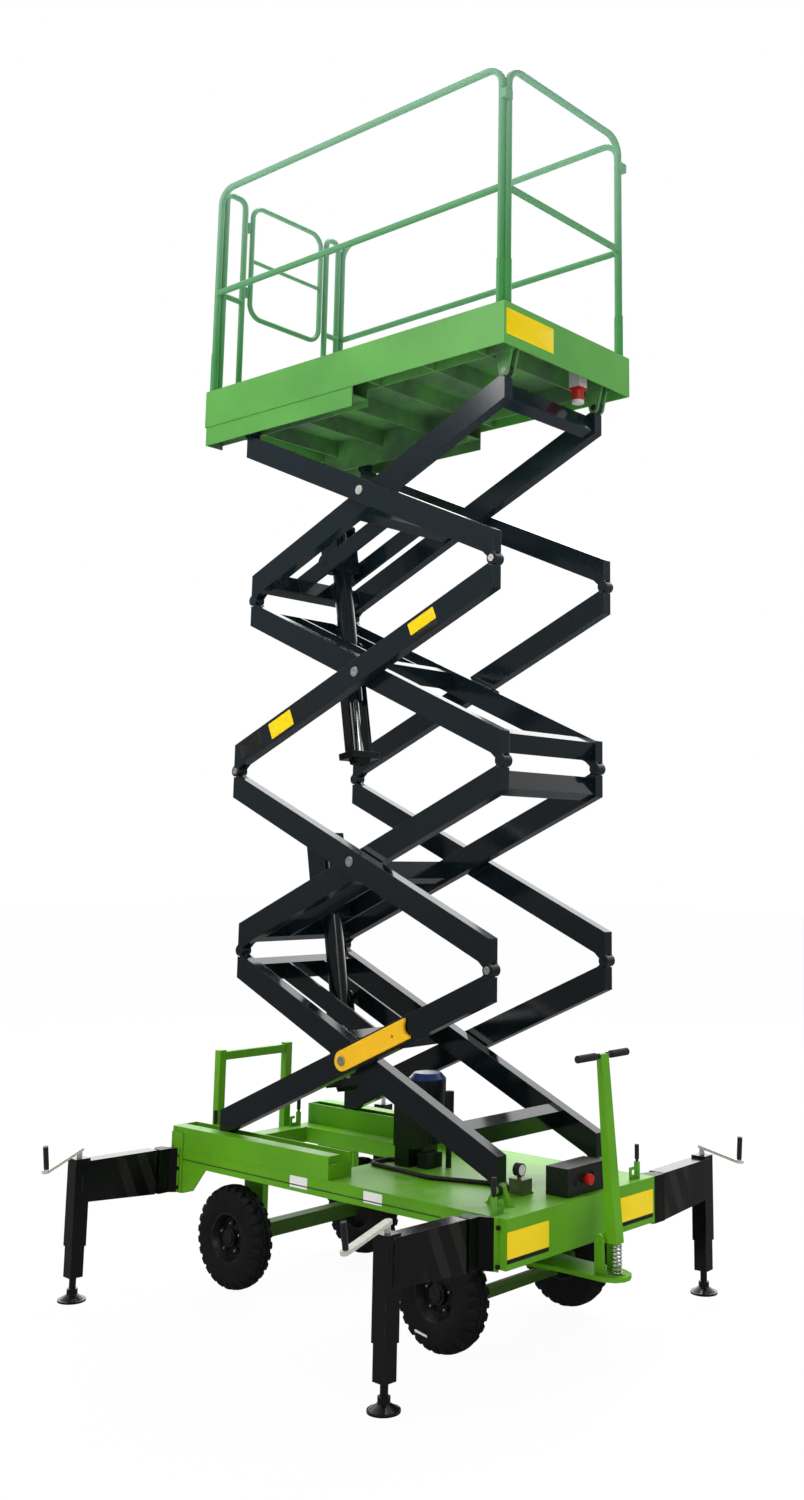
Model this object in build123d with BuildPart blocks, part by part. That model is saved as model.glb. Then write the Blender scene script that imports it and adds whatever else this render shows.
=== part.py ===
from build123d import *
from collections import namedtuple
from math import asin, atan2, cos, degrees, hypot, radians, sin, tan
import os

os.makedirs("parts", exist_ok=True)

# Mobile scissor lift table, four stages, on a four wheeled chassis with four jack legs.
# Millimetres. +X towards the tow handle, +Z up, floor at Z = 0, middle plane at Y = 0.

# Main sizes, with the wheels held just clear of the floor by the jack legs
PIN_X = 739.0
TYRE_R = 207.0
WHEEL_CLEAR = 9.0
HUB_Z = TYRE_R + WHEEL_CLEAR
HALF_W = 464.0
BEAM_Z = HUB_Z + 262.0
DECK_Z = BEAM_Z + 67.0
PIN_Z = DECK_Z + 55.0
ARM_LEN = 1680.0
ARM_OFF = 60.0
ARM_H = 100.0
ARM_W = 50.0
ARM_GAP = 12.0
LIFT = radians(27.87)
STEP_X = ARM_LEN * cos(LIFT)
STEP_Z = ARM_LEN * sin(LIFT)
SLOPE = LIFT - asin(2.0 * ARM_OFF / ARM_LEN)
HALF = (ARM_LEN ** 2 / 4.0 - ARM_OFF ** 2) ** 0.5
OUTER_Y = HALF_W - 92.5
INNER_Y = OUTER_Y - ARM_W - ARM_GAP
MID_X = PIN_X - STEP_X / 2.0
STAGES = (1, 2, 3, 4)
RUN = 0.05
SIDES = (-1, 1)

# Chassis sizes
FRONT_X = PIN_X + 158.0
BOX_X = PIN_X + 68.0
REAR_X = PIN_X - 1724.0
DECK_T = 6.0
BEAM_W = 60.0
BOX_Z = DECK_Z - 172.0
RAIL_X = PIN_X - 748.0
RAIL_Z = DECK_Z + 89.0
RAIL_IN = OUTER_Y - ARM_W / 2.0 - 11.5
RAIL_FLOOR = DECK_Z + 28.0
WALL = 6.0
WELL_X0 = PIN_X - 1640.0
WELL_X1 = PIN_X - 852.0
WELL_Y = 245.0

# Running gear sizes
TYRE_W = 100.0
RIM_R = 101.6
TRACK_Y = HALF_W - 84.0
FRONT_AXLE_X = PIN_X - 214.0
REAR_AXLE_X = PIN_X - 1388.0
KING_Y = 286.0
REAR_TUBE = 30.0
AXLE_Z = HUB_Z - 50.0
AXLE_HALF = 19.0
DRAW_X = PIN_X - 120.0

# Platform sizes
PLAT_X0 = PIN_X - 1762.0
PLAT_X1 = PIN_X + 88.0
PLAT_Y = HALF_W - 28.5
TOP_PIN_Z = PIN_Z + 4.0 * STEP_Z
SKIRT_Z0 = TOP_PIN_Z + 68.0
SKIRT_Z1 = SKIRT_Z0 + 177.0
FLOOR_Z = SKIRT_Z0 + 92.0
SHEET = 5.0
RAIL_TOP = SKIRT_Z1 + 1051.0
RAIL_MID = SKIRT_Z1 + 503.0


def side_plane(y):
    return Plane(origin=(0, y, 0), x_dir=(1, 0, 0), z_dir=(0, -1, 0))


def slab(x0, x1, y0, y1, z0, z1, mode=Mode.ADD):
    with Locations(((x0 + x1) / 2.0, (y0 + y1) / 2.0, (z0 + z1) / 2.0)):
        Box(x1 - x0, y1 - y0, z1 - z0, mode=mode)


def prism(plane, points, depth, mode=Mode.ADD):
    with BuildSketch(plane) as outline:
        with BuildLine():
            Polyline(*points, close=True)
        make_face()
    extrude(outline.sketch, amount=depth, mode=mode)


def disc(plane, u, v, radius, depth, mode=Mode.ADD):
    with BuildSketch(plane) as outline:
        with Locations((u, v)):
            Circle(radius)
    extrude(outline.sketch, amount=depth, mode=mode)


def side_prism(points, y0, y1, mode=Mode.ADD):
    prism(side_plane(y1), points, y1 - y0, mode)


def side_disc(x, z, radius, y0, y1, mode=Mode.ADD):
    disc(side_plane(y1), x, z, radius, y1 - y0, mode)


def plan_prism(points, z0, z1, mode=Mode.ADD):
    prism(Plane.XY.offset(z0), points, z1 - z0, mode)


def plan_disc(x, y, radius, z0, z1, mode=Mode.ADD):
    disc(Plane.XY.offset(z0), x, y, radius, z1 - z0, mode)


def pipe(points, radius, bend=None):
    with BuildLine() as run:
        if bend:
            FilletPolyline(*points, radius=bend)
        else:
            Polyline(*points)
    start = run.line @ 0
    with BuildSketch(Plane(origin=start, z_dir=run.line % 0)) as ring:
        Circle(radius)
    sweep(ring.sketch, path=run.line)


# Chassis frame with corner brackets, axle bolsters and pivot ears
Corner = namedtuple("Corner", "name hinge_x leg_x leg_y side base_x0 base_x1 crank_deg drop")
CORNERS = (
    Corner("near_front", PIN_X + 18.0, PIN_X + 2.0, HALF_W + 441.0, -1, PIN_X + 74.0, PIN_X + 124.0, -81.0, 46.0),
    Corner("near_rear", PIN_X - 1741.0, PIN_X - 1774.0, HALF_W + 438.0, -1, PIN_X - 1718.0, PIN_X - 1668.0, -67.0, 42.0),
    Corner("far_front", PIN_X + 118.0, PIN_X + 101.0, HALF_W + 462.0, 1, PIN_X + 74.0, PIN_X + 154.0, -18.0, 20.0),
    Corner("far_rear", PIN_X - 1741.0, PIN_X - 1774.0, HALF_W + 438.0, 1, PIN_X - 1718.0, PIN_X - 1668.0, 82.0, 42.0),
)
HINGE_Y = HALF_W + 48.0
EAR_R = 28.0
EAR_T = 18.0
HINGE_PIN_R = 12.0
LOW_Z = DECK_Z - 180.0
EAR_W = 26.0
CHEEK_IN = 34.0
CHEEK_T = 6.0
CHEEK_REACH = 34.0
STRAP_T = 6.0

with BuildPart() as chassis_frame:
    for side in SIDES:
        y_in, y_out = sorted((side * (HALF_W - BEAM_W), side * HALF_W))
        slab(REAR_X, BOX_X, y_in, y_out, BEAM_Z, DECK_Z - DECK_T)
        w_in, w_out = sorted((side * WELL_Y, side * (WELL_Y + WALL)))
        slab(WELL_X0 - WALL, WELL_X1 + WALL, w_in, w_out, BEAM_Z, DECK_Z - DECK_T)
        b_in, b_out = sorted((side * (HALF_W - BEAM_W), side * HALF_W))
        slab(REAR_X, REAR_X + 84.0, b_in, b_out, LOW_Z, BEAM_Z)
        g_in, g_out = sorted((side * (HALF_W - WALL), side * HALF_W))
        side_prism(
            (
                (REAR_X + 80.0, BEAM_Z),
                (REAR_X + 228.0, BEAM_Z),
                (REAR_X + 152.0, LOW_Z + 22.0),
                (REAR_X + 80.0, LOW_Z),
            ),
            g_in,
            g_out,
        )
    slab(BOX_X, FRONT_X, -HALF_W, HALF_W, BOX_Z, DECK_Z)
    slab(REAR_X, WELL_X0, -HALF_W + BEAM_W, HALF_W - BEAM_W, BEAM_Z, DECK_Z - DECK_T)
    slab(WELL_X1, WELL_X1 + 60.0, -HALF_W + BEAM_W, HALF_W - BEAM_W, BEAM_Z, DECK_Z - DECK_T)
    slab(FRONT_AXLE_X - 164.0, BOX_X, -225.0, 225.0, BOX_Z, DECK_Z - DECK_T)
    slab(PIN_X - 72.0, BOX_X, -HALF_W + BEAM_W, HALF_W - BEAM_W, BEAM_Z, DECK_Z - DECK_T)
    # Turntable upper disc and its block
    plan_disc(DRAW_X, 0.0, 125.0, BOX_Z - 26.0, BOX_Z)
    # Bolsters down to the front axle
    for side in SIDES:
        y0, y1 = sorted((side * 195.0, side * 225.0))
        slab(FRONT_AXLE_X - 45.0, FRONT_AXLE_X + 45.0, y0, y1, AXLE_Z + AXLE_HALF, BOX_Z)
        # Rear axle hangers
        y0, y1 = sorted((side * 255.0, side * 285.0))
        slab(REAR_AXLE_X - 60.0, REAR_AXLE_X + 60.0, y0, y1, HUB_Z + REAR_TUBE, BEAM_Z)
    for side in SIDES:
        y0, y1 = sorted((side * (WELL_Y + WALL), side * (HALF_W - BEAM_W)))
        slab(REAR_AXLE_X - 70.0, REAR_AXLE_X + 70.0, y0, y1, BEAM_Z, DECK_Z - DECK_T)
        # Upright straps at the rear corners
        y0, y1 = sorted((side * HALF_W, side * (HALF_W + STRAP_T)))
        slab(REAR_X + 62.0, REAR_X + 76.0, y0, y1, LOW_Z, RAIL_Z - 22.0)
        slab(REAR_X, REAR_X + 76.0, y0, y1, DECK_Z, RAIL_Z - 22.0)
    # Front pivot ears
    for side in SIDES:
        y_mid = side * INNER_Y
        side_disc(PIN_X, PIN_Z, 24.0, y_mid - 12.0, y_mid + 12.0)
        side_prism(
            (
                (PIN_X - 24.0, PIN_Z),
                (PIN_X - 60.0, DECK_Z - DECK_T),
                (PIN_X + 60.0, DECK_Z - DECK_T),
                (PIN_X + 24.0, PIN_Z),
            ),
            y_mid - 12.0,
            y_mid + 12.0,
        )
        side_disc(PIN_X, PIN_Z, 14.0, y_mid - 25.0, y_mid + 25.0)
chassis_frame.part.label = "chassis_frame"
export_step(chassis_frame.part, "parts/chassis_frame.step")

# Deck plate with the well opening and slots for the front ears
with BuildPart() as deck_plate:
    slab(REAR_X, BOX_X, -HALF_W, HALF_W, DECK_Z - DECK_T, DECK_Z)
    slab(WELL_X0, WELL_X1, -WELL_Y, WELL_Y, DECK_Z - DECK_T, DECK_Z, Mode.SUBTRACT)
    for side in SIDES:
        y_mid = side * INNER_Y
        slab(
            PIN_X - 66.0, PIN_X + 66.0, y_mid - 12.5, y_mid + 12.5,
            DECK_Z - DECK_T, DECK_Z, Mode.SUBTRACT,
        )
deck_plate.part.label = "deck_plate"
export_step(deck_plate.part, "parts/deck_plate.step")

# Corner brackets: two ears, a pin, a cheek and a strap bolted to the frame's side
with BuildPart() as corner_brackets:
    for c in CORNERS:
        y_h = c.side * HINGE_Y
        y_b = c.side * HALF_W
        y_s = c.side * (HALF_W + STRAP_T)
        y_e = c.side * (HINGE_Y + CHEEK_REACH)
        cheek_in = c.hinge_x + CHEEK_IN
        cheek_out = cheek_in + CHEEK_T
        bend = y_h - c.side * 16.0
        foot = max(c.base_x1, cheek_out)
        for z0, z1 in ((DECK_Z - EAR_T, DECK_Z), (LOW_Z, LOW_Z + EAR_T)):
            plan_disc(c.hinge_x, y_h, EAR_R, z0, z1)
            plan_prism(
                (
                    (c.base_x0, y_b),
                    (foot, y_b),
                    (cheek_out, bend),
                    (cheek_out, y_e),
                    (c.hinge_x, y_e),
                    (c.hinge_x - EAR_W, y_h),
                ),
                z0,
                z1,
            )
        plan_prism(
            (
                (foot, y_b),
                (cheek_out, bend),
                (cheek_out, y_e),
                (cheek_in, y_e),
                (cheek_in, bend),
                (foot - 1.5 * CHEEK_T, y_b),
            ),
            LOW_Z,
            DECK_Z,
        )
        plan_disc(c.hinge_x, y_h, HINGE_PIN_R, LOW_Z, DECK_Z)
        y0, y1 = sorted((y_b, y_s))
        slab(c.base_x0 - 4.0, foot, y0, y1, LOW_Z, DECK_Z)
corner_brackets.part.label = "corner_brackets"
export_step(corner_brackets.part, "parts/corner_brackets.step")

# Roller rails on both sides of the rear deck
with BuildPart() as roller_rails:
    for side in SIDES:
        for a, b, z0, z1 in (
            (HALF_W - WALL, HALF_W, DECK_Z, RAIL_Z),
            (OUTER_Y + ARM_W / 2.0 + 5.5, HALF_W, RAIL_Z - 5.0, RAIL_Z),
            (RAIL_IN, RAIL_IN + WALL, DECK_Z, RAIL_Z),
            (RAIL_IN, HALF_W, DECK_Z, RAIL_FLOOR),
        ):
            y0, y1 = sorted((side * a, side * b))
            slab(REAR_X, RAIL_X, y0, y1, z0, z1)
        y0, y1 = sorted((side * RAIL_IN, side * HALF_W))
        slab(RAIL_X - WALL, RAIL_X, y0, y1, DECK_Z, PIN_Z)
        slab(REAR_X, REAR_X + WALL, y0, y1, DECK_Z, RAIL_Z)
roller_rails.part.label = "roller_rails"
export_step(roller_rails.part, "parts/roller_rails.step")

# Push frame at the rear
PUSH_Y = 200.0
PUSH_TUBE = 36.0
PUSH_TOP = DECK_Z + 380.0
with BuildPart() as push_frame:
    for side in SIDES:
        y0 = side * PUSH_Y - PUSH_TUBE / 2.0
        slab(REAR_X - PUSH_TUBE, REAR_X, y0, y0 + PUSH_TUBE, BEAM_Z + 5.0, PUSH_TOP)
    slab(
        REAR_X - PUSH_TUBE + 3.0, REAR_X - 3.0, -PUSH_Y, PUSH_Y,
        PUSH_TOP - PUSH_TUBE - 8.0, PUSH_TOP - 8.0,
    )
push_frame.part.label = "push_frame"
export_step(push_frame.part, "parts/push_frame.step")

# Lock pins standing on the deck, each a short tube with a grip and a hooked stop beside it
LockPin = namedtuple("LockPin", "x y hook")
LOCK_PINS = (
    LockPin(REAR_X + 24.0, -250.0, 1),
    LockPin(REAR_X + 24.0, 250.0, -1),
    LockPin(PIN_X + 118.0, HALF_W - 56.0, -1),
    LockPin(PIN_X + 84.0, -HALF_W + 18.0, 1),
)
PIN_TUBE = 62.0
PIN_TOP = 128.0
with BuildPart() as lock_pins:
    for p in LOCK_PINS:
        plan_disc(p.x, p.y, 12.0, DECK_Z, DECK_Z + PIN_TUBE)
        plan_disc(p.x, p.y, 6.0, DECK_Z + PIN_TUBE, DECK_Z + PIN_TUBE + 12.0)
        plan_disc(p.x, p.y, 9.0, DECK_Z + PIN_TUBE + 10.0, DECK_Z + PIN_TOP)
        y0, y1 = sorted((p.y + p.hook * 8.0, p.y + p.hook * 52.0))
        slab(p.x - 3.0, p.x + 3.0, y0, y1, DECK_Z, DECK_Z + 16.0)
        y0, y1 = sorted((p.y + p.hook * 40.0, p.y + p.hook * 52.0))
        slab(p.x - 3.0, p.x + 3.0, y0, y1, DECK_Z, DECK_Z + 46.0)
        y0, y1 = sorted((p.y + p.hook * 26.0, p.y + p.hook * 52.0))
        slab(p.x - 3.0, p.x + 3.0, y0, y1, DECK_Z + 34.0, DECK_Z + 46.0)
lock_pins.part.label = "lock_pins"
export_step(lock_pins.part, "parts/lock_pins.step")

# Hydraulic power unit: tank and motor standing on pump blocks, with a filter tube beside them
UNIT_X = PIN_X - 655.0
UNIT_Z = DECK_Z + 80.0
MOTOR_X = UNIT_X - 58.0
MOTOR_Y = 68.0
MOTOR_R = 79.0
TANK_Y = MOTOR_Y - MOTOR_R - 3.0
FILTER_X = UNIT_X + 92.0
FILTER_Y = 40.0
with BuildPart() as power_tank:
    slab(UNIT_X - 95.0, UNIT_X + 23.0, TANK_Y - 81.0, TANK_Y, UNIT_Z, UNIT_Z + 185.0)
    slab(UNIT_X - 100.0, UNIT_X - 22.0, TANK_Y - 66.0, MOTOR_Y + 30.0, DECK_Z, UNIT_Z)
    slab(UNIT_X + 2.0, UNIT_X + 60.0, TANK_Y - 40.0, TANK_Y + 50.0, DECK_Z, UNIT_Z - 22.0)
    slab(UNIT_X - 30.0, UNIT_X + 10.0, TANK_Y - 20.0, TANK_Y + 30.0, DECK_Z, UNIT_Z - 40.0)
    plan_disc(FILTER_X, FILTER_Y, 12.0, DECK_Z, DECK_Z + 200.0)
    plan_disc(FILTER_X, FILTER_Y, 19.0, DECK_Z + 200.0, DECK_Z + 300.0)
power_tank.part.label = "power_tank"
export_step(power_tank.part, "parts/power_tank.step")

with BuildPart() as motor:
    plan_disc(MOTOR_X, MOTOR_Y, MOTOR_R, UNIT_Z, DECK_Z + 358.0)
    chamfer(motor.faces().sort_by(Axis.Z)[-1].edges(), 22.0)
motor.part.label = "motor"
export_step(motor.part, "parts/motor.step")

# Valve block with its pressure gauge
VALVE_X = PIN_X - 60.0
VALVE_Y = -115.0
VALVE_Z = DECK_Z + 6.0
with BuildPart() as valve_block:
    slab(VALVE_X - 38.0, VALVE_X + 38.0, VALVE_Y - 32.0, VALVE_Y + 32.0, DECK_Z, VALVE_Z)
    slab(VALVE_X - 34.0, VALVE_X + 34.0, VALVE_Y - 28.0, VALVE_Y + 28.0, VALVE_Z, VALVE_Z + 48.0)
    plan_disc(VALVE_X, VALVE_Y - 8.0, 8.0, VALVE_Z + 48.0, VALVE_Z + 60.0)
    with BuildSketch(Plane(origin=(VALVE_X - 14.0, VALVE_Y - 8.0, VALVE_Z + 80.0), z_dir=(1, 0, 0))) as dial:
        Circle(24.0)
    extrude(dial.sketch, amount=28.0)
valve_block.part.label = "valve_block"
export_step(valve_block.part, "parts/valve_block.step")

# Hydraulic hose lying on the deck, from the tank round to the valve block
HOSE_R = 9.0
HOSE_Z = DECK_Z + HOSE_R
with BuildPart() as deck_hose:
    pipe(
        (
            (UNIT_X - 100.0, -30.0, HOSE_Z),
            (UNIT_X - 170.0, -30.0, HOSE_Z),
            (UNIT_X - 170.0, -150.0, HOSE_Z),
            (UNIT_X + 187.0, -185.0, HOSE_Z),
            (UNIT_X + 429.0, -100.0, HOSE_Z),
            (VALVE_X - 120.0, VALVE_Y, HOSE_Z),
            (VALVE_X - 38.0, VALVE_Y, HOSE_Z),
        ),
        HOSE_R, 30.0,
    )
deck_hose.part.label = "deck_hose"
export_step(deck_hose.part, "parts/deck_hose.step")

# Control box with its stop button
CTRL_X0 = PIN_X + 24.0
CTRL_X1 = PIN_X + 129.0
CTRL_Y0 = -66.0
CTRL_Y1 = 176.0
STOP_Y = 44.0
CTRL_H = 104.0
with BuildPart() as control_box:
    slab(CTRL_X0, CTRL_X1, CTRL_Y0, CTRL_Y1, DECK_Z, DECK_Z + CTRL_H)
    for y, z, r, t in ((-54.0, 46.0, 9.0, 6.0), (53.0, 62.0, 12.0, 9.0)):
        with BuildSketch(Plane(origin=(CTRL_X1, STOP_Y + y, DECK_Z + z), z_dir=(1, 0, 0))) as knob:
            Circle(r)
        extrude(knob.sketch, amount=t)
control_box.part.label = "control_box"
export_step(control_box.part, "parts/control_box.step")

with BuildPart() as stop_button:
    with BuildSketch(Plane(origin=(CTRL_X1, STOP_Y, DECK_Z + 55.0), z_dir=(1, 0, 0))) as stem:
        Circle(11.0)
    extrude(stem.sketch, amount=14.0)
    with BuildSketch(Plane(origin=(CTRL_X1 + 14.0, STOP_Y, DECK_Z + 55.0), z_dir=(1, 0, 0))) as cap:
        Circle(20.0)
    extrude(cap.sketch, amount=14.0)
stop_button.part.label = "stop_button"
export_step(stop_button.part, "parts/stop_button.step")

# Axles
STUB_R = 17.0
KING_R = 14.0
TYRE_IN = TRACK_Y - TYRE_W / 2.0
with BuildPart() as front_axle:
    slab(
        FRONT_AXLE_X - AXLE_HALF, FRONT_AXLE_X + AXLE_HALF, -KING_Y, KING_Y,
        AXLE_Z - AXLE_HALF, AXLE_Z + AXLE_HALF,
    )
    for side in SIDES:
        y_k = side * KING_Y
        plan_disc(FRONT_AXLE_X, y_k, 24.0, AXLE_Z - AXLE_HALF, AXLE_Z + AXLE_HALF)
        plan_disc(FRONT_AXLE_X, y_k, KING_R, AXLE_Z + AXLE_HALF, HUB_Z + 46.0)
front_axle.part.label = "front_axle"
export_step(front_axle.part, "parts/front_axle.step")

with BuildPart() as rear_axle:
    slab(
        REAR_AXLE_X - REAR_TUBE, REAR_AXLE_X + REAR_TUBE, -TYRE_IN + 14.0, TYRE_IN - 14.0,
        HUB_Z - REAR_TUBE, HUB_Z + REAR_TUBE,
    )
    side_disc(REAR_AXLE_X, HUB_Z, STUB_R, -TRACK_Y - 20.0, TRACK_Y + 20.0)
rear_axle.part.label = "rear_axle"
export_step(rear_axle.part, "parts/rear_axle.step")

# Steering knuckles with stub axles and steering arms
ARM_REACH = 100.0
TIE_Z0 = HUB_Z - 4.0
Knuckle = namedtuple("Knuckle", "name side")
for k in (Knuckle("knuckle_near", -1), Knuckle("knuckle_far", 1)):
    y_k = k.side * KING_Y
    with BuildPart() as knuckle:
        plan_disc(FRONT_AXLE_X, y_k, 24.0, AXLE_Z + AXLE_HALF + 1.0, HUB_Z + 44.0)
        plan_disc(FRONT_AXLE_X, y_k, KING_R + RUN, AXLE_Z, HUB_Z + 50.0, Mode.SUBTRACT)
        y0, y1 = sorted((k.side * (KING_Y + 20.0), k.side * (TRACK_Y + 20.0)))
        side_disc(FRONT_AXLE_X, HUB_Z, STUB_R, y0, y1)
        slab(
            FRONT_AXLE_X + 18.0, FRONT_AXLE_X + ARM_REACH, y_k - 12.0, y_k + 12.0,
            HUB_Z + 20.0, HUB_Z + 34.0,
        )
        plan_disc(FRONT_AXLE_X + ARM_REACH, y_k, 12.0, HUB_Z + 20.0, HUB_Z + 34.0)
        plan_disc(FRONT_AXLE_X + ARM_REACH, y_k, 7.0, HUB_Z + 2.0, HUB_Z + 20.0)
    knuckle.part.label = k.name
    export_step(knuckle.part, "parts/" + k.name + ".step")

with BuildPart() as tie_rod:
    slab(
        FRONT_AXLE_X + ARM_REACH - 9.0, FRONT_AXLE_X + ARM_REACH + 9.0, -KING_Y, KING_Y,
        HUB_Z + 3.0, HUB_Z + 17.0,
    )
    for side in SIDES:
        plan_disc(FRONT_AXLE_X + ARM_REACH, side * KING_Y, 14.0, HUB_Z + 3.0, HUB_Z + 17.0)
    for side in SIDES:
        plan_disc(
            FRONT_AXLE_X + ARM_REACH, side * KING_Y, 7.0 + RUN, HUB_Z, HUB_Z + 20.0, Mode.SUBTRACT
        )
tie_rod.part.label = "tie_rod"
export_step(tie_rod.part, "parts/tie_rod.step")

# Drawbar with its lower disc, plate, clevis ears and spring seat
DRAW_Z0 = BOX_Z - 91.0
DRAW_T = 16.0
NOSE_X = PIN_X + 353.0
CLEVIS_X = PIN_X + 255.0
CLEVIS_Z = DRAW_Z0 + 135.0
CLEVIS_Y0 = 34.0
CLEVIS_Y1 = 46.0
HANDLE_PIN_R = 9.0
TOW_HOLE_X = NOSE_X - 22.0
TOW_HOLE_R = 10.0
with BuildPart() as drawbar:
    plan_disc(DRAW_X, 0.0, 125.0, DRAW_Z0 + DRAW_T, BOX_Z - 26.3)
    plan_disc(DRAW_X, 0.0, 105.0, DRAW_Z0, DRAW_Z0 + DRAW_T)
    plan_prism(
        (
            (DRAW_X, -100.0),
            (PIN_X + 100.0, -72.0),
            (NOSE_X - 62.0, -72.0),
            (NOSE_X - 18.0, -50.0),
            (NOSE_X, -16.0),
            (NOSE_X, 16.0),
            (NOSE_X - 18.0, 50.0),
            (NOSE_X - 62.0, 72.0),
            (PIN_X + 100.0, 72.0),
            (DRAW_X, 100.0),
        ),
        DRAW_Z0,
        DRAW_Z0 + DRAW_T,
    )
    for side in SIDES:
        y0, y1 = sorted((side * CLEVIS_Y0, side * CLEVIS_Y1))
        side_prism(
            (
                (CLEVIS_X - 20.0, DRAW_Z0 + DRAW_T),
                (CLEVIS_X + 34.0, DRAW_Z0 + DRAW_T),
                (CLEVIS_X + 20.0, DRAW_Z0 + DRAW_T + 40.0),
                (CLEVIS_X + 18.0, CLEVIS_Z),
                (CLEVIS_X - 20.0, CLEVIS_Z),
            ),
            y0,
            y1,
        )
        side_disc(CLEVIS_X, CLEVIS_Z, 20.0, y0, y1)
    side_disc(CLEVIS_X, CLEVIS_Z, HANDLE_PIN_R, -CLEVIS_Y1 - 8.0, CLEVIS_Y1 + 8.0)
    plan_disc(CLEVIS_X + 50.0, 0.0, 12.0, DRAW_Z0 + DRAW_T, DRAW_Z0 + DRAW_T + 22.0)
    plan_disc(TOW_HOLE_X, 0.0, TOW_HOLE_R, DRAW_Z0, DRAW_Z0 + DRAW_T, Mode.SUBTRACT)
drawbar.part.label = "drawbar"
export_step(drawbar.part, "parts/drawbar.step")

# Tow handle
HANDLE_LEAN = radians(4.7)
HANDLE_TOP = DRAW_Z0 + 790.0
HANDLE_FOOT_X = PIN_X + 297.0
HANDLE_FOOT_Z = DRAW_Z0 + 123.0
HANDLE_FOOT_DX = 44.0
HANDLE_DX = 22.0
SPRING_R = 20.0
HANDLE_DY = 50.0


def handle_x(z):
    return HANDLE_FOOT_X - (z - HANDLE_FOOT_Z) * tan(HANDLE_LEAN)


with BuildPart() as tow_handle:
    side_prism(
        (
            (handle_x(HANDLE_FOOT_Z) - HANDLE_FOOT_DX / 2.0, HANDLE_FOOT_Z),
            (handle_x(HANDLE_FOOT_Z) + HANDLE_FOOT_DX / 2.0, HANDLE_FOOT_Z),
            (handle_x(HANDLE_TOP) + HANDLE_DX / 2.0, HANDLE_TOP),
            (handle_x(HANDLE_TOP) - HANDLE_DX / 2.0, HANDLE_TOP),
        ),
        -HANDLE_DY / 2.0,
        HANDLE_DY / 2.0,
    )
    side_disc(CLEVIS_X, CLEVIS_Z, 19.0, -25.0, 25.0)
    side_prism(
        (
            (CLEVIS_X, HANDLE_FOOT_Z),
            (handle_x(HANDLE_FOOT_Z), HANDLE_FOOT_Z),
            (handle_x(HANDLE_FOOT_Z + 55.0), HANDLE_FOOT_Z + 55.0),
            (CLEVIS_X, CLEVIS_Z + 19.0),
        ),
        -25.0,
        25.0,
    )
    side_disc(CLEVIS_X, CLEVIS_Z, HANDLE_PIN_R + RUN, -30.0, 30.0, Mode.SUBTRACT)
tow_handle.part.label = "tow_handle"
export_step(tow_handle.part, "parts/tow_handle.step")

GRIP_Z = HANDLE_TOP - 6.0
GRIP_X = handle_x(GRIP_Z)
with BuildPart() as tow_grips:
    for side in SIDES:
        for a, b, r in ((HANDLE_DY / 2.0, 62.0, 10.0), (50.0, 160.0, 14.0)):
            y0, y1 = sorted((side * a, side * b))
            side_disc(GRIP_X, GRIP_Z, r, y0, y1)
tow_grips.part.label = "tow_grips"
export_step(tow_grips.part, "parts/tow_grips.step")

with BuildPart() as return_spring:
    plan_disc(CLEVIS_X + 50.0, 0.0, SPRING_R, DRAW_Z0 + DRAW_T + 0.3, HANDLE_FOOT_Z - 1.0)
    plan_disc(CLEVIS_X + 50.0, 0.0, 12.5, DRAW_Z0 + DRAW_T, HANDLE_FOOT_Z, Mode.SUBTRACT)
return_spring.part.label = "return_spring"
export_step(return_spring.part, "parts/return_spring.step")

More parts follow.
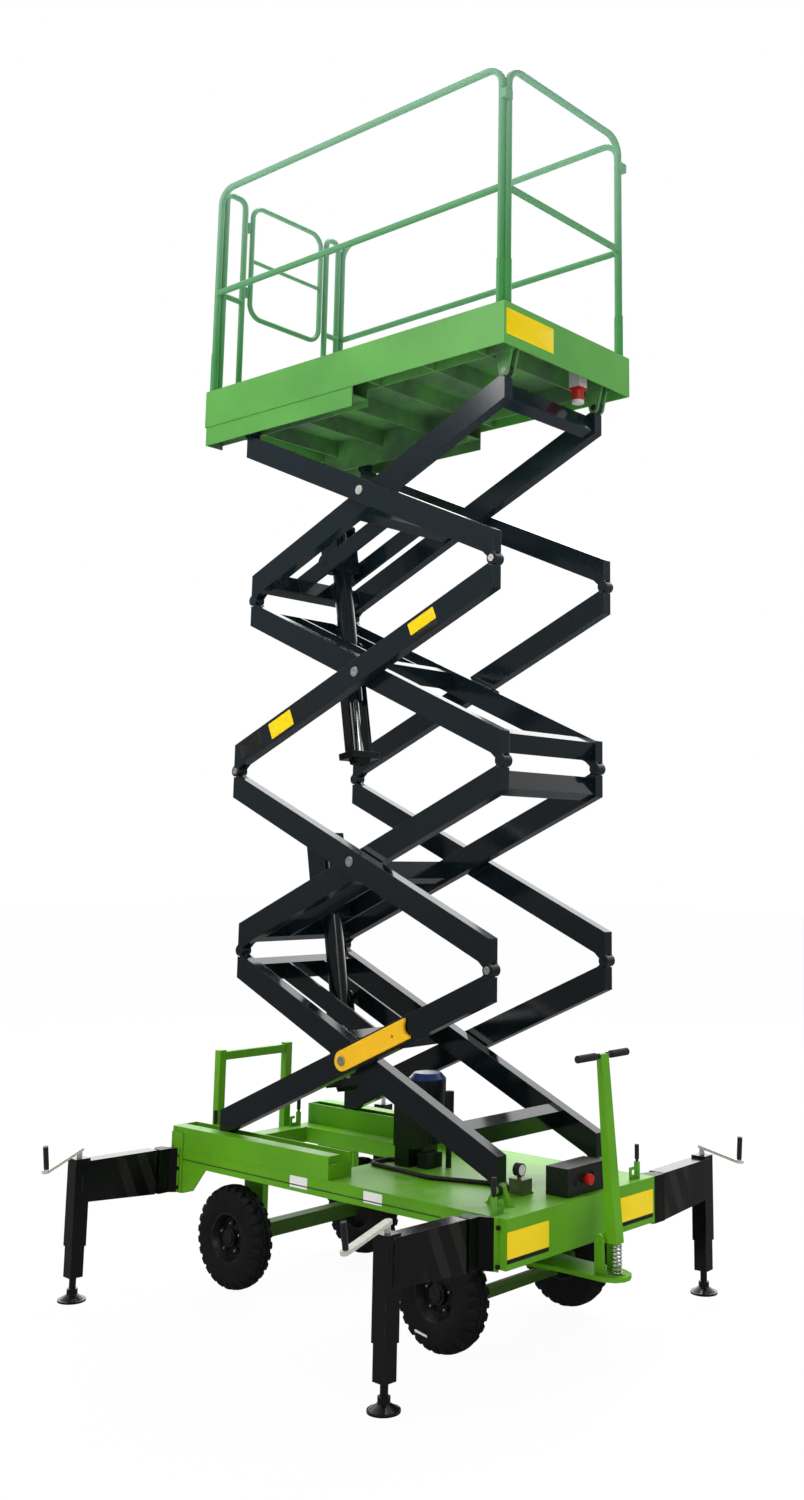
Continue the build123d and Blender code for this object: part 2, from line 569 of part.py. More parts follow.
# Wheels
Wheel = namedtuple("Wheel", "name x side")
WHEELS = (
    Wheel("near_front", FRONT_AXLE_X, -1),
    Wheel("far_front", FRONT_AXLE_X, 1),
    Wheel("near_rear", REAR_AXLE_X, -1),
    Wheel("far_rear", REAR_AXLE_X, 1),
)
LUGS = 20
LUG_IN = 13.0
LUG_NOTCH = (
    (TYRE_R - 14.0, -7.0),
    (TYRE_R + 4.0, -10.0),
    (TYRE_R + 4.0, 10.0),
    (TYRE_R - 14.0, 7.0),
)
for w in WHEELS:
    y_c = w.side * TRACK_Y
    with BuildPart() as tyre:
        with BuildSketch(Plane(origin=(w.x, y_c, HUB_Z), x_dir=(0, 1, 0), z_dir=(1, 0, 0))) as section:
            with BuildLine():
                Polyline(
                    (-44.0, RIM_R),
                    (-TYRE_W / 2.0, TYRE_R - 62.0),
                    (-46.0, TYRE_R - 28.0),
                    (-36.0, TYRE_R - 8.0),
                    (-20.0, TYRE_R),
                    (20.0, TYRE_R),
                    (36.0, TYRE_R - 8.0),
                    (46.0, TYRE_R - 28.0),
                    (TYRE_W / 2.0, TYRE_R - 62.0),
                    (44.0, RIM_R),
                    close=True,
                )
            make_face()
        revolve(section.sketch, axis=Axis((w.x, y_c, HUB_Z), (0, 1, 0)))
        # Notches between the shoulder lugs, those of one side half a step on
        for half in SIDES:
            y0, y1 = sorted((y_c + half * LUG_IN, y_c + half * TYRE_W))
            with BuildSketch(side_plane(y1)) as notches:
                for i in range(LUGS):
                    turn = radians(360.0 / LUGS * (i + 0.25 * half))
                    with BuildLine():
                        Polyline(
                            *(
                                (
                                    w.x + r * cos(turn) - t * sin(turn),
                                    HUB_Z + r * sin(turn) + t * cos(turn),
                                )
                                for r, t in LUG_NOTCH
                            ),
                            close=True,
                        )
                    make_face()
            extrude(notches.sketch, amount=y1 - y0, mode=Mode.SUBTRACT)
    tyre.part.label = "tyre_" + w.name
    export_step(tyre.part, "parts/tyre_" + w.name + ".step")
    with BuildPart() as rim:
        with BuildSketch(Plane(origin=(w.x, y_c, HUB_Z), x_dir=(0, w.side, 0), z_dir=(1, 0, 0))) as section:
            with BuildLine():
                Polyline(
                    (-44.0, RIM_R),
                    (-44.0, RIM_R - 8.0),
                    (-4.0, RIM_R - 20.0),
                    (-4.0, STUB_R + RUN),
                    (34.0, STUB_R + RUN),
                    (34.0, 36.0),
                    (12.0, 40.0),
                    (8.0, RIM_R - 26.0),
                    (44.0, RIM_R - 8.0),
                    (44.0, RIM_R),
                    close=True,
                )
            make_face()
        revolve(section.sketch, axis=Axis((w.x, y_c, HUB_Z), (0, 1, 0)))
    rim.part.label = "rim_" + w.name
    export_step(rim.part, "parts/rim_" + w.name + ".step")

# Scissor arms
EDGE = 5.0
CUT = ARM_H * tan(SLOPE)
NOTCH_R = 27.0
LUG_R = 24.0
PIN_R = 14.0
CENTRE_R = 18.0
TONGUE = 12.0
FORK = 13.0
ROLLER_R = 27.0


def arm_plane(stage, rise, y):
    z = PIN_Z + (stage - 0.5) * STEP_Z
    return Plane(
        origin=(MID_X, y, z), x_dir=(cos(SLOPE), 0, rise * sin(SLOPE)), z_dir=(0, -1, 0)
    )


def arm_bar(stage, rise, y_mid):
    """One tube with vertical ends, its lower fork and its upper tongue."""
    half_h = ARM_H / 2.0
    front = arm_plane(stage, rise, y_mid + ARM_W / 2.0)
    prism(
        front,
        (
            (-rise * (HALF + EDGE), -half_h),
            (rise * (HALF + EDGE - CUT), -half_h),
            (rise * (HALF + EDGE), half_h),
            (-rise * (HALF + EDGE - CUT), half_h),
        ),
        ARM_W,
    )
    for end in SIDES:
        disc(front, end * rise * HALF, end * ARM_OFF, NOTCH_R, ARM_W, Mode.SUBTRACT)
    # Fork plates at the lower end
    for y_hi in (y_mid + ARM_W / 2.0, y_mid - FORK):
        plate = arm_plane(stage, rise, y_hi)
        thick = ARM_W / 2.0 - FORK
        disc(plate, -rise * HALF, -ARM_OFF, LUG_R, thick)
        prism(
            plate,
            tuple(
                (-rise * (HALF - du), -ARM_OFF + dw)
                for du, dw in ((-LUG_R, 0.0), (LUG_R, 0.0), (60.0, 12.0), (60.0, 34.0), (8.0, 34.0))
            ),
            thick,
        )
    # Tongue at the upper end
    plate = arm_plane(stage, rise, y_mid + TONGUE)
    disc(plate, rise * HALF, ARM_OFF, LUG_R, 2.0 * TONGUE)
    prism(
        plate,
        tuple(
            (rise * (HALF - du), ARM_OFF - dw)
            for du, dw in ((-LUG_R, 0.0), (LUG_R, 0.0), (60.0, 12.0), (60.0, 34.0), (8.0, 34.0))
        ),
        2.0 * TONGUE,
    )


def lower_hole(stage, rise, y_mid):
    disc(
        arm_plane(stage, rise, y_mid + ARM_W), -rise * HALF, -ARM_OFF, PIN_R + RUN,
        2.0 * ARM_W, Mode.SUBTRACT,
    )


def upper_pin(stage, rise, y_mid):
    disc(arm_plane(stage, rise, y_mid + ARM_W / 2.0), rise * HALF, ARM_OFF, PIN_R, ARM_W)


# Outer arms: the near and far tube of each stage, with the centre pins
Stage = namedtuple("Stage", "number outer_rise inner_rise")
STAGE_TABLE = (
    Stage(1, 1, -1),
    Stage(2, -1, 1),
    Stage(3, 1, -1),
    Stage(4, -1, 1),
)
for s in STAGE_TABLE:
    with BuildPart() as outer:
        for side in SIDES:
            y_mid = side * OUTER_Y
            arm_bar(s.number, s.outer_rise, y_mid)
            lower_hole(s.number, s.outer_rise, y_mid)
            upper_pin(s.number, s.outer_rise, y_mid)
            reach_in = side * (INNER_Y - ARM_W / 2.0)
            reach_out = side * (OUTER_Y - ARM_W / 2.0 + 2.0)
            y0, y1 = sorted((reach_in, reach_out))
            disc(arm_plane(s.number, s.outer_rise, y1), 0.0, 0.0, CENTRE_R, y1 - y0)
            y0, y1 = sorted((side * (INNER_Y + ARM_W / 2.0 + 0.5), reach_out))
            disc(arm_plane(s.number, s.outer_rise, y1), 0.0, 0.0, 34.0, y1 - y0)
            if s.number == 1:
                disc(
                    arm_plane(1, s.outer_rise, y_mid + FORK), -s.outer_rise * HALF, -ARM_OFF,
                    ROLLER_R, 2.0 * FORK,
                )
            if s.number == 4:
                for y_hi in (y_mid + ARM_W / 2.0, y_mid - TONGUE):
                    disc(
                        arm_plane(4, s.outer_rise, y_hi), s.outer_rise * HALF, ARM_OFF,
                        ROLLER_R, ARM_W / 2.0 - TONGUE,
                    )
    outer.part.label = "outer_arms_" + str(s.number)
    export_step(outer.part, "parts/outer_arms_" + str(s.number) + ".step")

# Inner frames: two tubes joined by cross tubes, with ribs for the cylinders
CROSS_W = 60.0
CROSS_H = 80.0
REAR_CROSS = -(HALF - 70.0)
FRONT_CROSS = HALF - 70.0
LOW_CROSS = 582.0
MID_CROSS = -115.0
RIB_Y = 100.0
RIB_T = 12.0
RIB_H = 80.0
BARREL_U = (-552.0, 24.0)
EYE_U = (-485.0, -6.0)
TRUNNION_R = 16.0
for s in STAGE_TABLE:
    with BuildPart() as inner:
        for side in SIDES:
            arm_bar(s.number, s.inner_rise, side * INNER_Y)
        inside = INNER_Y - ARM_W / 2.0
        front_cross = LOW_CROSS if s.number == 1 else FRONT_CROSS
        for u in (REAR_CROSS, MID_CROSS, front_cross):
            prism(
                arm_plane(s.number, s.inner_rise, inside),
                (
                    (u - CROSS_W / 2.0, -CROSS_H / 2.0),
                    (u + CROSS_W / 2.0, -CROSS_H / 2.0),
                    (u + CROSS_W / 2.0, CROSS_H / 2.0),
                    (u - CROSS_W / 2.0, CROSS_H / 2.0),
                ),
                2.0 * inside,
            )
        for side in SIDES:
            y0, y1 = sorted((side * RIB_Y, side * (RIB_Y + RIB_T)))
            prism(
                arm_plane(s.number, s.inner_rise, y1),
                (
                    (REAR_CROSS, -RIB_H / 2.0),
                    (MID_CROSS, -RIB_H / 2.0),
                    (MID_CROSS, RIB_H / 2.0),
                    (REAR_CROSS, RIB_H / 2.0),
                ),
                RIB_T,
            )
            if s.inner_rise > 0:
                disc(arm_plane(s.number, s.inner_rise, y1), *BARREL_U, 34.0, RIB_T)
                disc(
                    arm_plane(s.number, s.inner_rise, y1 + 10.0), *BARREL_U,
                    TRUNNION_R + RUN, RIB_T + 20.0, Mode.SUBTRACT,
                )
            else:
                e0, e1 = sorted((side * (RIB_Y - 24.0), side * (RIB_Y + RIB_T)))
                disc(arm_plane(s.number, s.inner_rise, e1), *EYE_U, 14.0, e1 - e0)
        for side in SIDES:
            lower_hole(s.number, s.inner_rise, side * INNER_Y)
            disc(
                arm_plane(s.number, s.inner_rise, side * INNER_Y + ARM_W), 0.0, 0.0,
                CENTRE_R + RUN, 2.0 * ARM_W, Mode.SUBTRACT,
            )
        for side in SIDES:
            upper_pin(s.number, s.inner_rise, side * INNER_Y)
    inner.part.label = "inner_frame_" + str(s.number)
    export_step(inner.part, "parts/inner_frame_" + str(s.number) + ".step")

# Safety strut on the near outer face of the first stage
STRUT_Y1 = -(OUTER_Y + ARM_W / 2.0) - 5.0
with BuildPart() as safety_strut:
    strut_plane = arm_plane(1, 1, STRUT_Y1)
    prism(strut_plane, ((0.0, -40.0), (385.0, -40.0), (385.0, 40.0), (0.0, 40.0)), 12.0)
    disc(strut_plane, 0.0, 0.0, 40.0, 12.0)
    disc(strut_plane, 0.0, 0.0, 26.0, -4.7)
    disc(strut_plane, 402.0, 0.0, 34.0, 12.0, Mode.SUBTRACT)
    disc(strut_plane, 300.0, -4.0, 6.0, 12.0, Mode.SUBTRACT)
safety_strut.part.label = "safety_strut"
export_step(safety_strut.part, "parts/safety_strut.step")

# Lift cylinders: barrel hung by its trunnions, rod inside a cage
Cyl = namedtuple("Cyl", "name upper_stage lower_stage head cage_len")
CYLINDERS = (
    Cyl("lower", 2, 1, 325.0, 375.0),
    Cyl("upper", 4, 3, 190.0, 530.0),
)
D_FOLD = 182.0
D_MAX = 600.0
BARREL_R = 42.0
ROD_R = 22.0


def arm_point(stage, rise, point):
    z = PIN_Z + (stage - 0.5) * STEP_Z
    u, w = point
    return (
        MID_X + u * cos(SLOPE) - rise * w * sin(SLOPE),
        z + rise * u * sin(SLOPE) + w * cos(SLOPE),
    )


for c in CYLINDERS:
    ux, uz = arm_point(c.upper_stage, 1, BARREL_U)
    ex, ez = arm_point(c.lower_stage, -1, EYE_U)
    gap = hypot(ex - ux, ez - uz)
    axis = ((ex - ux) / gap, 0, (ez - uz) / gap)
    barrel_end = D_FOLD + c.cage_len - 50.0
    rod_top = barrel_end - 80.0 - (D_MAX - gap)

    def cyl_plane(y):
        return Plane(origin=(ux, y, uz), x_dir=axis, z_dir=(0, -1, 0))

    def along(a):
        return Plane(origin=(ux + a * axis[0], 0, uz + a * axis[2]), z_dir=axis)

    with BuildPart() as barrel:
        with BuildSketch(along(-c.head + 10.0)) as round_bar:
            Circle(BARREL_R)
        extrude(round_bar.sketch, amount=barrel_end + c.head - 10.0)
        prism(cyl_plane(75.0), ((-c.head, -45.0), (-c.head + 15.0, -45.0), (-c.head + 15.0, 45.0), (-c.head, 45.0)), 150.0)
        prism(cyl_plane(60.0), ((-40.0, -45.0), (40.0, -45.0), (40.0, 45.0), (-40.0, 45.0)), 120.0)
        for y_hi in (75.0, -60.0):
            prism(cyl_plane(y_hi), ((-c.head, -45.0), (40.0, -45.0), (40.0, 45.0), (-c.head, 45.0)), 15.0)
        for y_hi in (114.0, -75.0):
            disc(cyl_plane(y_hi), 0.0, 0.0, TRUNNION_R, 39.0)
        with BuildSketch(along(rod_top - (gap - D_FOLD) - 10.0)) as bore:
            Circle(ROD_R + RUN)
        extrude(bore.sketch, amount=2.0 * barrel_end, mode=Mode.SUBTRACT)
    barrel.part.label = c.name + "_barrel"
    export_step(barrel.part, "parts/" + c.name + "_barrel.step")

    bottom = gap + c.cage_len
    with BuildPart() as cage:
        for y_hi in (64.0, -52.0):
            prism(cyl_plane(y_hi), ((gap, -24.0), (bottom, -24.0), (bottom, 24.0), (gap, 24.0)), 12.0)
            disc(cyl_plane(y_hi), gap, 0.0, 28.0, 12.0)
        for y_hi in (70.0, -50.0):
            disc(cyl_plane(y_hi), gap, 0.0, 17.0, 20.0, Mode.SUBTRACT)
        prism(cyl_plane(85.0), ((bottom - 30.0, -45.0), (bottom, -45.0), (bottom, 45.0), (bottom - 30.0, 45.0)), 170.0)
        prism(cyl_plane(40.0), ((bottom, -30.0), (bottom + 22.0, -22.0), (bottom + 22.0, 22.0), (bottom, 30.0)), 80.0)
        with BuildSketch(along(rod_top)) as rod_round:
            Circle(ROD_R)
        extrude(rod_round.sketch, amount=bottom - 10.0 - rod_top)
    cage.part.label = c.name + "_cage"
    export_step(cage.part, "parts/" + c.name + "_cage.step")

# Platform tray with its lower rails, ribs and pivot ears
RIBS_X = (-1650.0, -1330.0, -1010.0, -690.0, -370.0, -80.0)
PRAIL_Z = SKIRT_Z0 - 88.0
PRAIL_X1 = PIN_X - 768.0
with BuildPart() as platform_tray:
    slab(PLAT_X0, PLAT_X1, -PLAT_Y, PLAT_Y, SKIRT_Z0, SKIRT_Z1)
    slab(
        PLAT_X0 + SHEET, PLAT_X1 - SHEET, -PLAT_Y + SHEET, PLAT_Y - SHEET,
        SKIRT_Z0, SKIRT_Z1, Mode.SUBTRACT,
    )
    slab(PLAT_X0, PLAT_X1, -PLAT_Y, PLAT_Y, FLOOR_Z - SHEET, FLOOR_Z)
platform_tray.part.label = "platform_tray"
export_step(platform_tray.part, "parts/platform_tray.step")

# Frame under the floor: cross ribs, long ribs, roller rails and front pivot ears
UNDER_Y = PLAT_Y - SHEET
UNDER_Z = FLOOR_Z - SHEET
with BuildPart() as platform_frame:
    for x in RIBS_X:
        slab(PIN_X + x - 4.0, PIN_X + x + 4.0, -UNDER_Y, UNDER_Y, SKIRT_Z0 + 8.0, UNDER_Z)
    for side in SIDES:
        y0, y1 = sorted((side * (UNDER_Y - SHEET), side * UNDER_Y))
        slab(PLAT_X0 + SHEET, PRAIL_X1, y0, y1, PRAIL_Z, SKIRT_Z0 + 12.0)
        y0, y1 = sorted((side * (RAIL_IN - 4.0), side * (RAIL_IN + 2.0)))
        slab(PLAT_X0 + SHEET, PRAIL_X1, y0, y1, PRAIL_Z + 20.0, SKIRT_Z0 + 20.0)
        slab(PLAT_X0 + SHEET, PIN_X + 60.0, y0, y1, SKIRT_Z0 + 6.0, UNDER_Z)
        y0, y1 = sorted((side * (RAIL_IN - 4.0), side * UNDER_Y))
        top_in = TOP_PIN_Z + ROLLER_R
        slab(PLAT_X0 + SHEET, PRAIL_X1, y0, y1, top_in + 0.5, top_in + 6.5)
        slab(PLAT_X0 + SHEET, PLAT_X0 + 2.0 * SHEET, y0, y1, PRAIL_Z, SKIRT_Z0 + 12.0)
        # Ears that hold the front pins
        y_mid = side * INNER_Y
        for y_lo in (y_mid - ARM_W / 2.0, y_mid + FORK):
            thick = ARM_W / 2.0 - FORK
            side_disc(PIN_X, TOP_PIN_Z, LUG_R, y_lo, y_lo + thick)
            side_prism(
                (
                    (PIN_X - LUG_R, TOP_PIN_Z),
                    (PIN_X + LUG_R, TOP_PIN_Z),
                    (PIN_X + 46.0, SKIRT_Z0 + 20.0),
                    (PIN_X + 46.0, UNDER_Z),
                    (PIN_X - 46.0, UNDER_Z),
                    (PIN_X - 46.0, SKIRT_Z0 + 20.0),
                ),
                y_lo,
                y_lo + thick,
            )
        side_disc(PIN_X, TOP_PIN_Z, PIN_R + RUN, y_mid - 30.0, y_mid + 30.0, Mode.SUBTRACT)
platform_frame.part.label = "platform_frame"
export_step(platform_frame.part, "parts/platform_frame.step")

# Gate sizes
GATE_Y0 = -212.0
GATE_Y1 = 252.0
GATE_Z0 = SKIRT_Z1 + 446.0
GATE_Z1 = SKIRT_Z1 + 1032.0
GATE_HINGE_Y = -237.0
GATE_MID_Y = (GATE_Y0 + GATE_Y1) / 2.0
GATE_MID_Z = (GATE_Z0 + GATE_Z1) / 2.0
HINGE_DZ = (-170.0, 170.0)
GATE_PIN_R = 5.0

# Guard rails
TUBE_R = 16.0
MID_R = 15.0
SIDE_Y = PLAT_Y - 24.5
FRONT_Y = PLAT_Y - 44.5
SOCKET_R = TUBE_R + 2.7
SOCKET_TOP = SKIRT_Z1 + 190.0
CLIP_Z = RAIL_TOP - 170.0
BEND = 80.0
TOP_C = RAIL_TOP - TUBE_R
FOOT_Z = FLOOR_Z
SIDE_X0 = PIN_X - 1738.0
SIDE_X1 = PIN_X + 47.0
FRONT_PLANE = PIN_X + 64.0
REAR_POST_X = SIDE_X0
with BuildPart() as guard_rails:
    for side in SIDES:
        y = side * SIDE_Y
        pipe(
            ((SIDE_X0, y, FOOT_Z), (SIDE_X0, y, TOP_C), (SIDE_X1, y, TOP_C), (SIDE_X1, y, FOOT_Z)),
            TUBE_R, BEND,
        )
        pipe(((SIDE_X0, y, RAIL_MID), (SIDE_X1, y, RAIL_MID)), MID_R)
    pipe(
        (
            (FRONT_PLANE, -FRONT_Y, FOOT_Z),
            (FRONT_PLANE, -FRONT_Y, TOP_C),
            (FRONT_PLANE, FRONT_Y, TOP_C),
            (FRONT_PLANE, FRONT_Y, FOOT_Z),
        ),
        TUBE_R, BEND,
    )
    pipe(((FRONT_PLANE, -FRONT_Y, RAIL_MID), (FRONT_PLANE, FRONT_Y, RAIL_MID)), MID_R)
    # Sleeves round the corner posts and clips that tie the panels together
    for side in SIDES:
        for x, y in ((SIDE_X0, SIDE_Y), (SIDE_X1, SIDE_Y), (FRONT_PLANE, FRONT_Y)):
            plan_disc(x, side * y, SOCKET_R, FLOOR_Z, SOCKET_TOP)
        y0, y1 = sorted((side * (FRONT_Y - 4.0), side * (SIDE_Y + 19.0)))
        slab(SIDE_X1, FRONT_PLANE + 19.0, y0, y1, CLIP_Z, CLIP_Z + 40.0)
        y0, y1 = sorted((side * 378.0, side * SIDE_Y))
        slab(REAR_POST_X - 5.0, REAR_POST_X + 5.0, y0, y1, CLIP_Z, CLIP_Z + 40.0)
    for y_a, y_b in ((-378.0, -262.0), (378.0, 292.0)):
        pipe(
            (
                (REAR_POST_X, y_a, FOOT_Z),
                (REAR_POST_X, y_a, TOP_C),
                (REAR_POST_X, y_b, TOP_C),
                (REAR_POST_X, y_b, FOOT_Z),
            ),
            TUBE_R - 1.0, 40.0,
        )
        pipe(((REAR_POST_X, y_a, RAIL_MID), (REAR_POST_X, y_b, RAIL_MID)), MID_R - 1.0)
    for dz in HINGE_DZ:
        z = GATE_MID_Z + dz
        slab(REAR_POST_X - 6.0, REAR_POST_X + 6.0, -255.0, GATE_HINGE_Y, z - 32.0, z - 20.3)
        plan_disc(REAR_POST_X, GATE_HINGE_Y, 8.0, z - 32.0, z - 20.3)
        plan_disc(REAR_POST_X, GATE_HINGE_Y, GATE_PIN_R, z - 32.0, z + 20.0)
guard_rails.part.label = "guard_rails"
export_step(guard_rails.part, "parts/guard_rails.step")

# Gate
with BuildPart() as gate:
    for y_edge in (GATE_Y0, GATE_Y1):
        pipe(
            (
                (REAR_POST_X, GATE_MID_Y, GATE_Z0),
                (REAR_POST_X, y_edge, GATE_Z0),
                (REAR_POST_X, y_edge, GATE_Z1),
                (REAR_POST_X, GATE_MID_Y, GATE_Z1),
            ),
            13.0, 70.0,
        )
    pipe(((REAR_POST_X, GATE_Y0, GATE_MID_Z), (REAR_POST_X, GATE_Y1, GATE_MID_Z)), 10.0)
    for dz in HINGE_DZ:
        z = GATE_MID_Z + dz
        slab(REAR_POST_X - 4.0, REAR_POST_X + 4.0, GATE_HINGE_Y, GATE_Y0, z - 20.0, z + 20.0)
        plan_disc(REAR_POST_X, GATE_HINGE_Y, 8.0, z - 20.0, z + 20.0)
    for dz in HINGE_DZ:
        z = GATE_MID_Z + dz
        plan_disc(REAR_POST_X, GATE_HINGE_Y, GATE_PIN_R + RUN, z - 30.0, z + 30.0, Mode.SUBTRACT)
gate.part.label = "gate"
export_step(gate.part, "parts/gate.step")

# Power socket under the platform's front end
with BuildPart() as power_socket:
    slab(PIN_X - 12.0, PIN_X + 44.0, 125.0, 179.0, SKIRT_Z0 - 30.0, FLOOR_Z - SHEET)
    plan_disc(PIN_X + 16.0, 152.0, 26.0, SKIRT_Z0 - 88.0, SKIRT_Z0 - 30.0)
power_socket.part.label = "power_socket"
export_step(power_socket.part, "parts/power_socket.step")

# Outriggers: arm with leg tube, jack with foot, crank
BEAM_HALF = 36.0
LEG = 66.0
LEG_IN = 58.0
JACK = 57.0
LEG_TOP = DECK_Z + 11.0
LEG_LOW = DECK_Z - 333.0
JACK_LOW = 92.0
JACK_TOP = DECK_Z - 127.0
FOOT_R = 57.0
CRANK_LEN = 240.0
for c in CORNERS:
    y_h = c.side * HINGE_Y
    y_l = c.side * c.leg_y
    reach = hypot(c.leg_x - c.hinge_x, y_l - y_h)
    ex = (c.leg_x - c.hinge_x) / reach
    ey = (y_l - y_h) / reach
    flat = Plane(origin=(c.hinge_x, y_h, 0), x_dir=(ex, ey, 0), z_dir=(0, 0, 1))
    wide = Plane(origin=(c.hinge_x, y_h, 0), x_dir=(ex, ey, 0), z_dir=(ey, -ex, 0))
    at_leg = Plane(origin=(c.leg_x, y_l, 0), x_dir=(ex, ey, 0), z_dir=(0, 0, 1))

    with BuildPart() as leg_arm:
        disc(flat.offset(LOW_Z + EAR_T + 2.0), 0.0, 0.0, EAR_R, DECK_Z - LOW_Z - 2.0 * EAR_T - 4.0)
        prism(
            wide.offset(-EAR_R),
            (
                (0.0, LOW_Z + EAR_T + 2.0),
                (50.0, LOW_Z + EAR_T + 2.0),
                (50.0, DECK_Z - EAR_T - 2.0),
                (0.0, DECK_Z - EAR_T - 2.0),
            ),
            2.0 * EAR_R,
        )
        disc(flat.offset(LOW_Z), 0.0, 0.0, HINGE_PIN_R + RUN, DECK_Z - LOW_Z, Mode.SUBTRACT)
        prism(
            wide.offset(-BEAM_HALF),
            ((42.0, LOW_Z), (reach, LOW_Z + 20.0), (reach, DECK_Z), (42.0, DECK_Z)),
            2.0 * BEAM_HALF,
        )
        with BuildSketch(at_leg.offset(LEG_LOW)) as tube:
            Rectangle(LEG, LEG)
        extrude(tube.sketch, amount=LEG_TOP - LEG_LOW)
        with BuildSketch(at_leg.offset(LEG_LOW)) as hollow:
            Rectangle(LEG_IN, LEG_IN)
        extrude(hollow.sketch, amount=LEG_TOP - LEG_LOW - 8.0, mode=Mode.SUBTRACT)
    leg_arm.part.label = "outrigger_" + c.name
    export_step(leg_arm.part, "parts/outrigger_" + c.name + ".step")

    with BuildPart() as jack:
        with BuildSketch(at_leg.offset(JACK_LOW)) as bar:
            Rectangle(JACK, JACK)
        extrude(bar.sketch, amount=JACK_TOP - JACK_LOW)
        disc(at_leg.offset(10.0), 0.0, 0.0, 14.0, JACK_LOW - 10.0)
        disc(at_leg.offset(20.0), 0.0, 0.0, 22.0, 28.0)
        disc(at_leg, 0.0, 0.0, FOOT_R, 8.0)
        with BuildSketch(at_leg.offset(8.0)) as foot_dome:
            Circle(FOOT_R - 6.0)
        extrude(foot_dome.sketch, amount=18.0, taper=56.0)
    jack.part.label = "jack_" + c.name
    export_step(jack.part, "parts/jack_" + c.name + ".step")

    turn = radians(c.crank_deg)
    fall = atan2(c.drop, CRANK_LEN)
    lever = Plane(
        origin=(c.leg_x, y_l, LEG_TOP + 34.0),
        x_dir=(cos(turn) * cos(fall), sin(turn) * cos(fall), -sin(fall)),
        z_dir=(cos(turn) * sin(fall), sin(turn) * sin(fall), cos(fall)),
    )
    with BuildPart() as crank:
        disc(at_leg.offset(LEG_TOP), 0.0, 0.0, 11.0, 36.0)
        with BuildSketch(lever.offset(-6.0)) as strap:
            with Locations((CRANK_LEN / 2.0, 0.0)):
                SlotOverall(CRANK_LEN + 34.0, 32.0)
        extrude(strap.sketch, amount=12.0)
        disc(lever.offset(5.0), CRANK_LEN - 4.0, 0.0, 10.5, 92.0)
    crank.part.label = "crank_" + c.name
    export_step(crank.part, "parts/crank_" + c.name + ".step")
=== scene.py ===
import math

import bpy
import numpy as np
from bpy.props import FloatProperty, FloatVectorProperty, IntProperty, PointerProperty
from mathutils import Matrix, Vector


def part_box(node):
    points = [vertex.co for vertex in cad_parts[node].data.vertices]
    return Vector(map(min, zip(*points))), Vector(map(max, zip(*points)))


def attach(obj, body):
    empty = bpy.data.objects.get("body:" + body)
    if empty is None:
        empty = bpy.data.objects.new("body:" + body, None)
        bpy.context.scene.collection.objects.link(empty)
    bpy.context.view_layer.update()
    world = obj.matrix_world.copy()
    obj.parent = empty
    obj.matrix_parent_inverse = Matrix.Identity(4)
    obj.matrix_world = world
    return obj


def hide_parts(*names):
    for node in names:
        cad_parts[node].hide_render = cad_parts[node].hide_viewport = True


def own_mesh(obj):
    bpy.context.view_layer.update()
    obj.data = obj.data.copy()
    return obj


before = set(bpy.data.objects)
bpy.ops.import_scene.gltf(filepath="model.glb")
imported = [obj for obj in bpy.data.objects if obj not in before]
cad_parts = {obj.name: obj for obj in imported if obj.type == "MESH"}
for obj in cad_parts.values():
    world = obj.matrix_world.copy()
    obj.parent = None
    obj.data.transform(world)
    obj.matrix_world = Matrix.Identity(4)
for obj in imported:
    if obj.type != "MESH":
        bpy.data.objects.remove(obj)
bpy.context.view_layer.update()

bl_info = {
    "name": "Mobile scissor lift table",
    "version": (1, 0, 0),
    "blender": (4, 5, 0),
    "location": "View3D > Sidebar > Lift Table",
    "description": "Dresses the packed frame of a mobile scissor lift table",
    "category": "Add Mesh",
}

# The photograph and the camera fitted to it: size and principal point in pixels, and azimuth,
# elevation and roll in degrees
PHOTO_W = 804
PHOTO_H = 1500
CENTRE_PX = (490.406, 615.633)
CAMERA_TURN = (40.0568, 9.66245, 0.57975)
SENSOR = 36.0

# Places on the CAD, in metres
PIN_X = 0.739
PIN_Z = 0.600
ARM_LEN = 1.680
ARM_OFF = 0.060
LIFT = math.radians(27.87)
STEP_X = ARM_LEN * math.cos(LIFT)
STEP_Z = ARM_LEN * math.sin(LIFT)
SLOPE = LIFT - math.asin(2.0 * ARM_OFF / ARM_LEN)
MID_X = PIN_X - STEP_X / 2.0
OUTER_FACE = 0.3965
BEAM_FACE = 0.464
FRONT_FACE = PIN_X + 0.158
PLATFORM_FRONT = PIN_X + 0.088
CRANK_REACH = 0.240
CRANK_Z = 0.590
ROD_MASK_R = 0.0235
CAGE_FOOT = 0.031
BARREL_PIN = (-0.552, 0.024)
ROD_EYE = (-0.485, -0.006)
SOCKET_TOP = 3.790
SOCKET_LOW = 3.734
GRIP_LOW = 0.607
GAUGE_Z = 0.631
# Each crank's name, place from the front pin, turn in degrees and the grip's drop
CRANKS = (
    ("near_front", 0.002, -0.905, -81.0, 0.046), ("near_rear", -1.774, -0.902, -67.0, 0.042),
    ("far_front", 0.101, 0.926, -18.0, 0.020), ("far_rear", -1.774, 0.902, 82.0, 0.042),
)
CAMERA_PLACE = (3.4995 + PIN_X, -4.5601, 1.8005)

# Base colours of the lime and black paints
LIME = (0.112, 0.36, 0.011)
ARM_BLACK = (0.0035, 0.0065, 0.0085)
ROD_BLACK = (0.0022, 0.0034, 0.0044)
LEG_BLACK = (0.0024, 0.0036, 0.0028)
DULL_BLACK = (0.010, 0.010, 0.010, 1)

